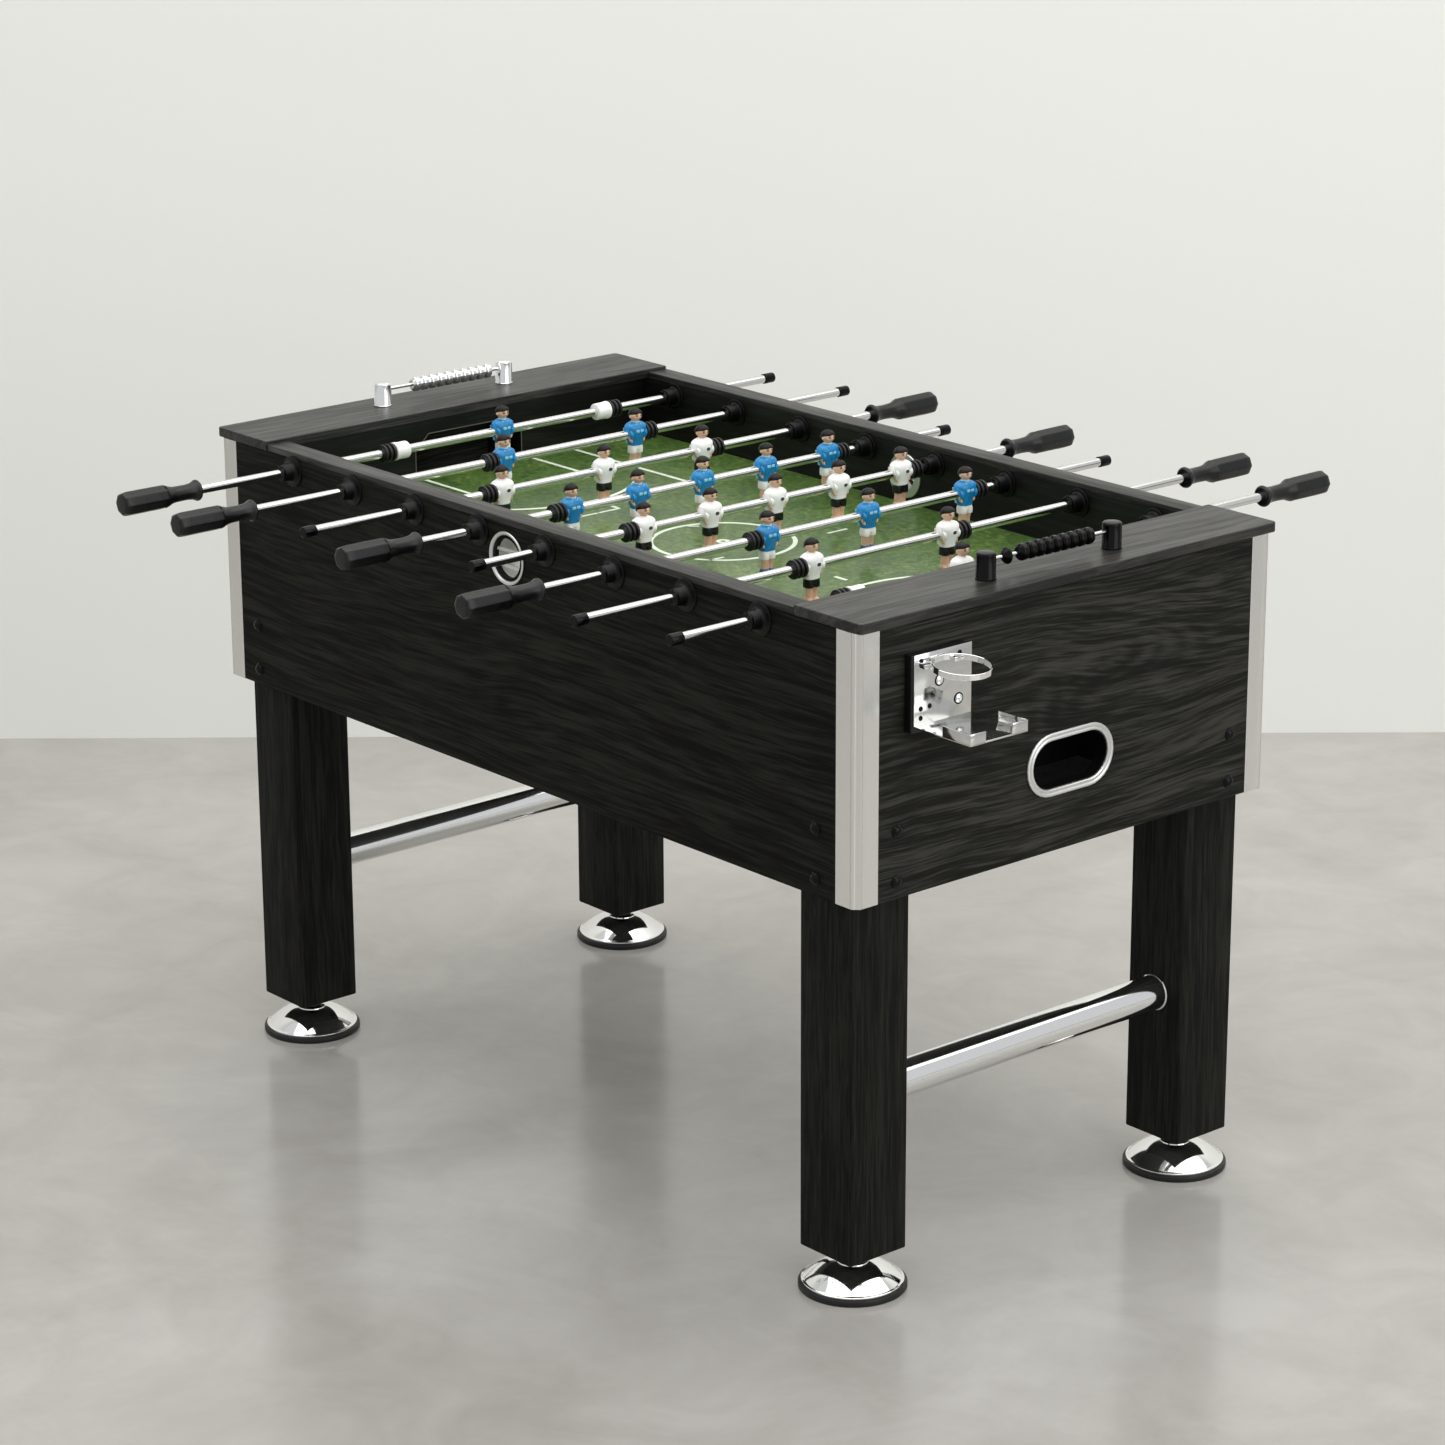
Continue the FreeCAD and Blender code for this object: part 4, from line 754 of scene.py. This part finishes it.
# bearing housings in the side walls
b = Build()
for i in range(1, 9):
    X = (i - 4.5) * 143
    for s in (-1, 1):
        T = along_y(X, 0, ROD_Z, s)
        b.lathe([(9.06, 312.0), (12.2, 312.0), (13.0, 312.8), (13.0, 326.0), (13.6, 329.0), (15.5, 330.6), (19.2, 331.0), (20.0, 331.7), (20.0, 333.7), (13.0, 334.0),
                 (13.0, 368.6), (21.6, 368.4), (22.0, 369.2), (21.8, 370.3), (20.8, 371.2), (16.6, 371.5), (14.6, 372.2), (13.2, 373.8), (12.4, 376.5), (11.4, 386.6), (11.0, 387.6), (10.2, 388.0), (9.06, 388.0)], T, 40, 0, True)
        for k in range(2):
            a = math.radians(35 + 180 * k)
            b.lathe([(0, 371.0), (2.1, 371.0), (2.2, 371.6), (1.6, 372.2), (0.7, 372.3), (0.6, 371.8), (0, 371.8)], move(X + 18.2 * math.cos(a), 0, ROD_Z + 18.2 * math.sin(a)) @ turn(-90 * s, "X"), 12, 0)
piece("rod_bearings_moulded", b, "table", ("bearing_housings",), ["plastic_dark"], 30)

# ------------------------------------------------------------- cabinet pieces
# top boards with rounded corners
def rounded_rect(x0, y0, x1, y1, rs, n=6):
    """Corner radii rs in the order lower left, lower right, upper right, upper left."""
    pts = []
    for (cx, cy, a0), r in zip(((x0, y0, 180), (x1, y0, 270), (x1, y1, 0), (x0, y1, 90)), rs):
        ox = cx + (r if cx == x0 else -r)
        oy = cy + (r if cy == y0 else -r)
        if r < 0.01:
            pts.append((cx, cy))
            continue
        for k in range(n + 1):
            a = math.radians(a0 + 90 * k / n)
            pts.append((ox + r * math.cos(a), oy + r * math.sin(a)))
    return pts


b = Build()
for s in (-1, 1):
    p = rounded_rect(563.5, -369.6, 686.0, 369.6, (1.0, 6.0, 6.0, 1.0))
    p = [(s * x, y) for x, y in p]
    b.prism(p, 905.2, 918.6, 0.9, 0)
for s in (-1, 1):
    b.rbox((-563.3, min(s * 334, s * 368.3), 905.2), (563.3, max(s * 334, s * 368.3), 914.6), 0.9, 2, 1)
piece("top_boards_laminated", b, "table", ("top_boards",), ["board_top_end", "board_top_side"])

# legs
b = Build()
for sx, sy in QUARTERS:
    x0, x1 = sorted((sx * 552.8, sx * 649.8))
    y0, y1 = sorted((sy * 251.5, sy * 348.5))
    b.rbox((x0, y0, 54.6), (x1, y1, 700), 2.6, 3, 0)
piece("legs_laminated", b, "table", ("legs",), ["board_leg"])

# leg bolts: low domes over round washers
b = Build()
for sx, sy in QUARTERS:
    for z in (573, 639):
        for T in (along_y(sx * 603.3, sy * 368.3, z, sy), along_x(sx * 677.8, sy * 300, z, sx)):
            b.lathe([(0, -8), (4, -8), (4, 0), (8.6, 0), (9.0, 0.4), (9.0, 1.0), (8.4, 1.4), (7.6, 2.4), (6.2, 3.8), (4.2, 4.9), (2.0, 5.4), (0, 5.5)], T, 28, 0)
piece("leg_bolts_domed", b, "table", ("leg_bolts",), ["plastic_gloss"])

# stretchers
b = Build()
for sx in (-1, 1):
    b.lathe([(0, -251.4), (24.9, -251.4), (25.5, -250.8), (25.5, -248.6), (24.9, -248.0), (24.0, -247.6), (24.0, 247.6), (24.9, 248.0), (25.5, 248.6), (25.5, 250.8), (24.9, 251.4), (0, 251.4)], along_y(sx * 601.3, 0, 265, 1), 48, 0)
piece("stretcher_tubes_coated", b, "table", ("stretchers",), ["chrome"])

# corner trims: an extruded aluminium angle with lips and grooves
def trim_profile():
    """The trim of the +X, +Y corner, seen from above: outside from the X face round to the Y face, then back inside."""
    ox, oy, w, t = 679.1, 369.6, 38.0, 1.3
    half = [(oy - w, 0.0), (oy - w, 0.9), (oy - w + 1.6, 0.9), (oy - w + 2.0, 0.25), (oy - 15.6, 0.25), (oy - 15.2, 0.0), (oy - 13.0, 0.0), (oy - 12.6, 0.5),
            (oy - 11.4, 0.5), (oy - 11.0, 0.0), (oy - 10.9, 0.0), (oy - 10.6, 1.1), (oy - 9.0, 1.1), (oy - 8.7, 0.0)]
    out = []
    # along the X face: y rises towards the corner
    out.append((ox - t, oy - w))
    for y, d in half[1:]:
        out.append((ox - max(0.0, d - 0.0) * 0.9, y))
    out.append((ox - 0.3, oy - 8.2))
    # facet with two ridges
    out += [(ox - 2.6, oy - 5.6), (ox - 3.4, oy - 5.4), (ox - 5.4, oy - 3.4), (ox - 5.6, oy - 2.6)]
    out.append((ox - 8.2, oy - 0.3))
    for y, d in reversed(half[1:]):
        out.append((ox - (oy - y), oy - d * 0.9))
    out.append((ox - w, oy - t))
    out += [(ox - 9.0, oy - t), (ox - t, oy - 9.0)]
    return out


b = Build()
prof = trim_profile()
for sx, sy in QUARTERS:
    b.prism([(sx * x, sy * y) for x, y in prof], 550.5, 904.9, 0.3, 0)
piece("corner_trims_extruded", b, "table", ("corner_trims",), ["aluminium"], 25)

# feet
b = Build()
for sx, sy in QUARTERS:
    b.lathe([(0, 0.0), (69.4, 0.0), (70.4, 0.6), (71.0, 1.8), (71.0, 6.6), (70.4, 8.2), (69.0, 9.0), (0, 9.0)], move(sx * 601.3, sy * 300, 0), 72, 0)
piece("leveller_pads_rubber", b, "table", ("leveller_pads",), ["rubber"])
b = Build()
for sx, sy in QUARTERS:
    prof = [(0, 9.05), (66.4, 9.05), (67.0, 9.6), (67.0, 11.4), (66.2, 12.1), (64.6, 12.5), (63.6, 13.4)]
    for k in range(1, 13):
        t = k / 12
        r = 63.6 + (20.6 - 63.6) * t
        z = 13.4 + 20.9 * (1 - (1 - t) ** 1.9) ** 1.02
        prof.append((r, min(z, 35.0)))
    prof += [(20.1, 35.6), (18.6, 36.0), (0, 36.0)]
    b.lathe(prof, move(sx * 601.3, sy * 300, 0), 72, 0)
piece("leveller_domes_chromed", b, "table", ("leveller_domes",), ["chrome"])
for name, sx, sy in (("front_right", 1, -1), ("back_right", 1, 1), ("front_left", -1, -1), ("back_left", -1, 1)):
    b = Build()
    prof = [(0, 36.3), (13.6, 36.3), (15.0, 37.2), (15.0, 41.6), (14.2, 42.6), (9.4, 42.9)]
    z = 43.0
    while z < 53.4:
        prof += [(8.6, z), (9.6, z + 0.75)]
        z += 1.5
    prof += [(9.0, 54.1), (0, 54.3)]
    b.lathe(prof, move(sx * 601.3, sy * 300, 0), 36, 0)
    lo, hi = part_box(f"foot_stud_{name}")
    piece(f"levelling_screw_{name}", b, f"foot_screw_{name}", (f"foot_stud_{name}",), ["plastic_gloss"])

# ball return bezels
def stadium(r, half, n=14):
    pts = []
    for k in range(n + 1):
        a = math.radians(-90 + 180 * k / n)
        pts.append((half + r * math.cos(a), r * math.sin(a)))
    for k in range(n + 1):
        a = math.radians(90 + 180 * k / n)
        pts.append((-half + r * math.cos(a), r * math.sin(a)))
    return pts


b = Build()
sec = [(32.0, 660.5), (33.8, 660.5), (33.8, 677.8), (41.4, 677.8), (42.3, 678.4), (42.5, 679.4), (42.2, 680.6), (41.2, 681.5), (39.6, 681.8), (38.2, 681.3),
       (37.4, 680.4), (36.6, 680.4), (35.8, 681.3), (34.6, 681.7), (33.2, 681.4), (32.3, 680.4), (32.0, 679.2)]
for sx in (-1, 1):
    loops = []
    for r, x in sec:
        loops.append([(sx * x, y, 668 + z) for y, z in stadium(r, 35)])
    loops.append(loops[0])
    b.loft(loops, 0, None, (False, False))
for sx in (-1, 1):
    loops = []
    for r, x in ((31.2, 661.0), (31.95, 661.0), (31.95, 678.6), (31.2, 678.2)):
        loops.append([(sx * x, y, 668 + z) for y, z in stadium(r, 35)])
    loops.append(loops[0])
    b.loft(loops, 1, None, (False, False))
piece("return_bezels_silver", b, "table", ("return_bezels",), ["silver", "plastic_dark"])

# ball serving cups
b = Build()
for s in (-1, 1):
    T = along_y(s * 10.0, 0, 860, s)
    b.lathe([(20.6, 331.6), (31.6, 331.6), (32.5, 332.4), (32.5, 333.8), (30.6, 334.0), (24.6, 334.4), (24.6, 350.0), (33.2, 368.4), (35.6, 368.4), (36.4, 369.2), (36.5, 370.2), (36.0, 371.0),
             (34.8, 371.3), (33.4, 370.9), (32.2, 369.6), (30.5, 366.4), (27.0, 361.5), (23.8, 357.0), (21.0, 351.5), (20.6, 348.0)], T, 48, [0, 0, 0, 1, 1, 1, 1, 0, 0, 0, 0, 0, 0, 0, 1, 1, 1, 1, 1, 1], True)
    # a dividing bar across the dish
    for z, h in ((9.0, 2.4), (-12.0, 2.6)):
        w = math.sqrt(30.0 ** 2 - z * z) - 1.0
        y0, y1 = sorted((s * 362.0, s * 365.4))
        b.rbox((s * 10 - w, y0, 860 + z - h), (s * 10 + w, y1, 860 + z + h), 1.0, 2, 0 if z < 0 else 1)
piece("serve_cups_silver", b, "table", ("serve_cups",), ["silver", "grey_dish"])

# goal mouths' pale edging
b = Build()
path = [(-98, 820.4), (-98, 857), (-74, 881), (74, 881), (98, 857), (98, 820.4)]
for s in (-1, 1):
    for k in range(len(path) - 1):
        (y0, z0), (y1, z1) = path[k], path[k + 1]
        p0, p1 = Vector((s * 576.6, y0, z0)), Vector((s * 576.6, y1, z1))
        d = (p1 - p0).normalized()
        p0, p1 = p0 - d * 0.4, p1 + d * 0.4
        b.sweep([p0, p1], [(-0.6, -0.45), (0.6, -0.45), (0.8, 0.0), (0.6, 0.45), (-0.6, 0.45), (-0.8, 0.0)], 0, up=(1, 0, 0))
piece("goal_edging", b, "table", (), ["edging"])

# pitch lines
def strip(b, pts, w=6.5, z=820.32, closed=False):
    n = len(pts)
    rings = []
    for i in range(n):
        p = Vector(pts[i])
        a = Vector(pts[i - 1]) if (i > 0 or closed) else p
        c = Vector(pts[(i + 1) % n]) if (i < n - 1 or closed) else p
        t = (c - a).normalized()
        q = Vector((-t.y, t.x)) * (w / 2)
        rings.append([(p.x + q.x, p.y + q.y, 820.02), (p.x + q.x, p.y + q.y, z), (p.x - q.x, p.y - q.y, z), (p.x - q.x, p.y - q.y, 820.02)])
    if closed:
        rings.append(rings[0])
    b.loft(rings, 0, None, (not closed, not closed))


b = Build()
strip(b, [(100 * math.cos(2 * PI * k / 72), 100 * math.sin(2 * PI * k / 72)) for k in range(72)], closed=True)
strip(b, [(7 * math.cos(2 * PI * k / 20), 7 * math.sin(2 * PI * k / 20)) for k in range(20)], 6.0, closed=True)
for y0, y1 in ((-82, -54), (137, 173)):
    strip(b, [(64, y0), (64, y1)], 5.0)
for y0, y1 in ((-69, -33), (-30, 8)):
    strip(b, [(-235, y0), (-235, y1)], 5.0)
strip(b, [(-95, 16), (-84, 28)], 5.0)
arc = [math.radians(d) for d in range(-60, 61, 4)]
for s in (-1, 1):
    for e in (-1, 1):
        strip(b, [(s * 574, e * 180), (s * 287, e * 180)])
        strip(b, [(s * 574, e * 100), (s * 434, e * 100)])
        strip(b, [(s * (574 - 26 * math.cos(PI / 2 * k / 8)), e * (332 - 26 * math.sin(PI / 2 * k / 8))) for k in range(9)])
    strip(b, [(s * (476 - 183 * math.cos(a)), 183 * math.sin(a)) for a in arc])
    strip(b, [(s * 262, -7 * s), (s * 238, -7 * s)], 6.0)
piece("pitch_lines", b, "table", (), ["line"])

# scorers
b = Build()
for sx in (-1, 1):
    for sy in (-1, 1):
        T = move(sx * 635, sy * 112, 0)
        mm = 0 if sx > 0 else 1
        b.lathe([(0, 918.6), (13.2, 918.6), (13.5, 919.0), (13.5, 920.4), (13.1, 920.9), (12.9, 921.4), (12.9, 950.6), (12.6, 952.2), (11.6, 953.3), (10.4, 953.6), (0, 953.6)], T, 36, mm)
    b.lathe([(0, -120), (2.2, -120), (2.5, -119.6), (2.5, 119.6), (2.2, 120), (0, 120)], along_y(sx * 635, 0, 942.5, 1), 20, 1)
piece("scorer_rails", b, "table", ("scorer_frames",), ["plastic_gloss", "chrome"])


def bead(b, x, y, mat, diamond=False):
    T = along_y(x, y, 942.5, 1)
    if diamond:
        prof = [(2.9, 0), (4.6, 0), (5.4, 0.5), (10.7, 6.3), (11.0, 7.15), (10.7, 8.0), (5.4, 13.8), (4.6, 14.3), (2.9, 14.3)]
    else:
        prof = [(2.9, 0), (6.6, 0), (7.4, 0.4), (10.5, 3.4), (11.0, 4.6), (11.0, 9.7), (10.5, 10.9), (7.4, 13.9), (6.6, 14.3), (2.9, 14.3)]
    b.lathe(prof, T, 32, mat, True)


b = Build()
bead(b, 635, -83.6, 0, True)
piece("scorer_bead_first", b, "first_bead", ("scorer_right_first_bead",), ["plastic_gloss"], 20)
lo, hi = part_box("scorer_right_beads")
b = Build()
for k in range(9):
    bead(b, 635, -56.4 + 14.6 * k, 0)
piece("scorer_beads_dark", b, "right_beads", ("scorer_right_beads",), ["plastic_gloss"], 20)
b = Build()
for k in range(10):
    bead(b, -635, -59.7 + 14.6 * k, 0)
piece("scorer_beads_bright", b, "left_beads", ("scorer_left_beads",), ["chrome"], 20)

# cup holders: pressed steel plate and tray on a black spacer, with a ring
b = Build()
for T in (None, HALF_TURN):
    c = [(691.5, -288), (694.0, -288), (694.0, -191), (691.5, -191)]
    b.rbox((691.5, -288, 773.2), (694.0, -191, 866.0), 0.9, 2, 0, T)
    b.rbox((692.4, -288, 773.0), (794.0, -191, 775.5), 0.9, 2, 0, T)
    for k in range(1, 5):  # an empty loop: no bend between plate and tray is drawn
        pass
    # lips round the tray's front corners
    for y0, y1 in ((-288.0, -262.0), (-217.0, -191.0)):
        b.rbox((791.8, y0, 773.4), (794.0, y1, 788.5), 0.8, 2, 0, T)
    for y0 in (-288.0, -193.2):
        b.rbox((744.0, y0, 773.4), (793.4, y0 + 2.2, 788.5), 0.8, 2, 0, T)
    b.rbox((677.9, -290, 765), (691.4, -194, 865), 2.0, 3, 1, T)
    for y, z in ((-277.0, 857.0), (-277.0, 796.0), (-277.0, 784.0), (-262.0, 797.0), (-212.0, 856.0)):
        X = along_x(694.0, y, z, 1)
        b.lathe([(0, -0.5), (3.2, -0.5), (3.4, 0.3), (2.8, 1.0), (1.6, 1.3), (0, 1.4)], X if T is None else T @ X, 18, 2)
    for y, z in ((-246.0, 827.0), (-213.0, 797.0)):
        X = along_x(694.0, y, z, 1)
        b.lathe([(5.9, -0.4), (7.6, -0.4), (7.6, 0.5), (5.9, 0.7)], X if T is None else T @ X, 24, 2, True)
        b.lathe([(0, -0.5), (5.6, -0.5), (6.0, 0.3), (5.4, 1.6), (4.0, 2.5), (2.2, 2.9), (1.9, 1.8), (0, 1.8)], X if T is None else T @ X, 24, 3)
piece("cup_holder_brackets", b, "table", ("cup_brackets",), ["polished", "plastic_black", "plastic_gloss", "chrome"])
b = Build()
for T in (None, HALF_TURN):
    Y = move(697.0, -247.0, 856) @ turn(5, "Y") @ move(37.4, 0, -4) @ Matrix.Diagonal((0.95, 0.95, 1, 1))
    Y = Y if T is None else T @ Y
    b.lathe([(38.3, 0.4), (38.8, 0), (39.6, 0), (40.1, 0.4), (40.1, 7.6), (39.6, 8.0), (38.8, 8.0), (38.3, 7.6)], Y, 64, 0, True)
    for y in (-276.5, -226.5):
        b.rbox((693.4, y - 8, 851.0), (709.5 if True else 0, y + 8, 857.2), 0.7, 2, 0, T)
piece("cup_holder_rings", b, "table", ("cup_rings",), ["chrome"])


# -------------------------------------------------- CAD nodes that are shown
def finish_node(name, mat, bevel=0.0):
    o = NODES[name]
    if o.hide_render:
        return
    if not o.data.materials:
        o.data.materials.append(MAT[mat])
    for k, s in enumerate(o.material_slots):
        s.link = "OBJECT"
        s.material = MAT[mat]
    if bevel:
        w = o.modifiers.new("weld", "WELD")
        w.merge_threshold = 0.00001
        m = o.modifiers.new("bevel", "BEVEL")
        m.width = bevel * MM
        m.segments = 2
        m.limit_method = "ANGLE"
        m.angle_limit = math.radians(50)
        m.harden_normals = False


# side panels take the darker laminate copy (painted shade), end panels the lighter copy (painted light)
finish_node("side_panels", "board_side_painted_shaded", 0.0)
finish_node("end_panels", "board_end_painted_lit", 0.0)
finish_node("inner_rails", "board_inner", 0.0)
finish_node("goal_walls", "board_goal", 0.0)
finish_node("playfield", "grass", 0.0)
finish_node("base_board", "board_inner", 0.0)
finish_node("inner_blocks", "raw_board", 0.0)
finish_node("ball_chutes", "plastic_black", 0.0)

# ------------------------------------------------------------------ the stage
YAW, PITCH_DOWN, ROLL = math.radians(139.454), math.radians(17.452), math.radians(-0.259)
EYE = Vector((4.2804, -3.6643, 2.3289))
d = Vector((math.cos(YAW) * math.cos(PITCH_DOWN), math.sin(YAW) * math.cos(PITCH_DOWN), -math.sin(PITCH_DOWN)))
r = d.cross(Vector((0, 0, 1))).normalized()
u = r.cross(d)
c, s = math.cos(ROLL), math.sin(ROLL)
r2, u2 = r * c + u * s, u * c - r * s
cam_data = bpy.data.cameras.new("camera")
cam_data.lens = 105.06
cam_data.sensor_width = 36.0
cam_data.clip_start, cam_data.clip_end = 0.05, 100.0
cam = bpy.data.objects.new("camera", cam_data)
cam.matrix_world = Matrix(((r2.x, u2.x, -d.x, EYE.x), (r2.y, u2.y, -d.y, EYE.y), (r2.z, u2.z, -d.z, EYE.z), (0, 0, 0, 1)))
bpy.context.scene.collection.objects.link(cam)
bpy.context.scene.camera = cam

fwd = Vector((math.cos(YAW), math.sin(YAW), 0))
right = Vector((fwd.y, -fwd.x, 0))
WALL_AT = Vector((EYE.x, EYE.y, 0)) + fwd * 7.33


def stage_plane(name, corners, mat):
    me = bpy.data.meshes.new(name)
    me.from_pydata([tuple(p) for p in corners], [], [(0, 1, 2, 3)])
    me.materials.append(mat)
    o = bpy.data.objects.new(name, me)
    bpy.context.scene.collection.objects.link(o)
    return o


m = Nodes("pale_floor")
cloud = m.noise(m.object_coords(), 1.7, 6.0, 0.62, 0.6)
patch = m.noise(m.object_coords(), 5.5, 5.0, 0.6, 0.8)
speck = m.noise(m.object_coords(), 60.0, 4.0, 0.65)
tone = m.math("ADD", m.math("MULTIPLY", cloud, 0.6), m.math("MULTIPLY", patch, 0.4))
m.set(color=m.mix(m.remap(tone, 0.36, 0.66, 0, 1), srgb(162, 159, 153), srgb(184, 181, 176)), rough=m.remap(patch, 0.3, 0.7, 0.13, 0.22), spec=0.6)
m.bump(speck, 0.02, 0.0005)
stage_plane("studio_floor", [Vector((-14, -14, 0)), Vector((14, -14, 0)), Vector((14, 14, 0)), Vector((-14, 14, 0))], m.mat)

m = Nodes("pale_wall")
m.set(color=srgb(226, 226, 221), rough=0.9, spec=0.2)
m.bsdf.inputs["Emission Color"].default_value = (*srgb(232, 232, 227), 1)
m.bsdf.inputs["Emission Strength"].default_value = 0.14
geo = m.new("ShaderNodeNewGeometry")
clear = m.new("ShaderNodeBsdfTransparent")
mixs = m.new("ShaderNodeMixShader")
out = next(n for n in m.t.nodes if n.type == "OUTPUT_MATERIAL")
m.put(mixs.inputs[0], geo.outputs["Backfacing"])
m.t.links.new(m.bsdf.outputs[0], mixs.inputs[1])
m.t.links.new(clear.outputs[0], mixs.inputs[2])
m.t.links.new(mixs.outputs[0], out.inputs[0])
wall = stage_plane("studio_wall", [WALL_AT - right * 9, WALL_AT + right * 9, WALL_AT + right * 9 + Vector((0, 0, 6)), WALL_AT - right * 9 + Vector((0, 0, 6))], m.mat)
wall.visible_shadow = False

world = bpy.data.worlds.new("studio_world")
bpy.context.scene.world = world
world.use_nodes = True
bg = next(n for n in world.node_tree.nodes if n.type == "BACKGROUND")
bg.inputs[0].default_value = (0.86, 0.88, 0.9, 1)
bg.inputs[1].default_value = 0.72


def area(name, at, target, size, power, color=(1, 1, 1), size_y=None):
    l = bpy.data.lights.new(name, "AREA")
    l.energy = power
    l.color = color
    l.size = size
    if size_y:
        l.shape = "RECTANGLE"
        l.size_y = size_y
    o = bpy.data.objects.new(name, l)
    o.location = at
    o.rotation_mode = "QUATERNION"
    o.rotation_quaternion = (Vector(target) - Vector(at)).to_track_quat("-Z", "Y")
    bpy.context.scene.collection.objects.link(o)
    return o


area("soft_overhead", (-0.2, 0.3, 3.6), (0, 0, 0.5), 4.4, 46, (1, 0.99, 0.97))
fill = area("soft_fill", (0.6, 0.2, 4.2), (0.3, 0.1, 0), 6.0, 118, (1, 0.99, 0.97))
fill.data.use_shadow = False

area("soft_side", (-1.0, -5.0, 4.2), (0, 0, 0.6), 2.0, 8, (1, 0.99, 0.97))
area("soft_front", (5.9, 0.7, 2.6), (0, 0, 0.5), 4.4, 92, (0.98, 0.99, 1))

bpy.context.scene.view_settings.view_transform = "Standard"
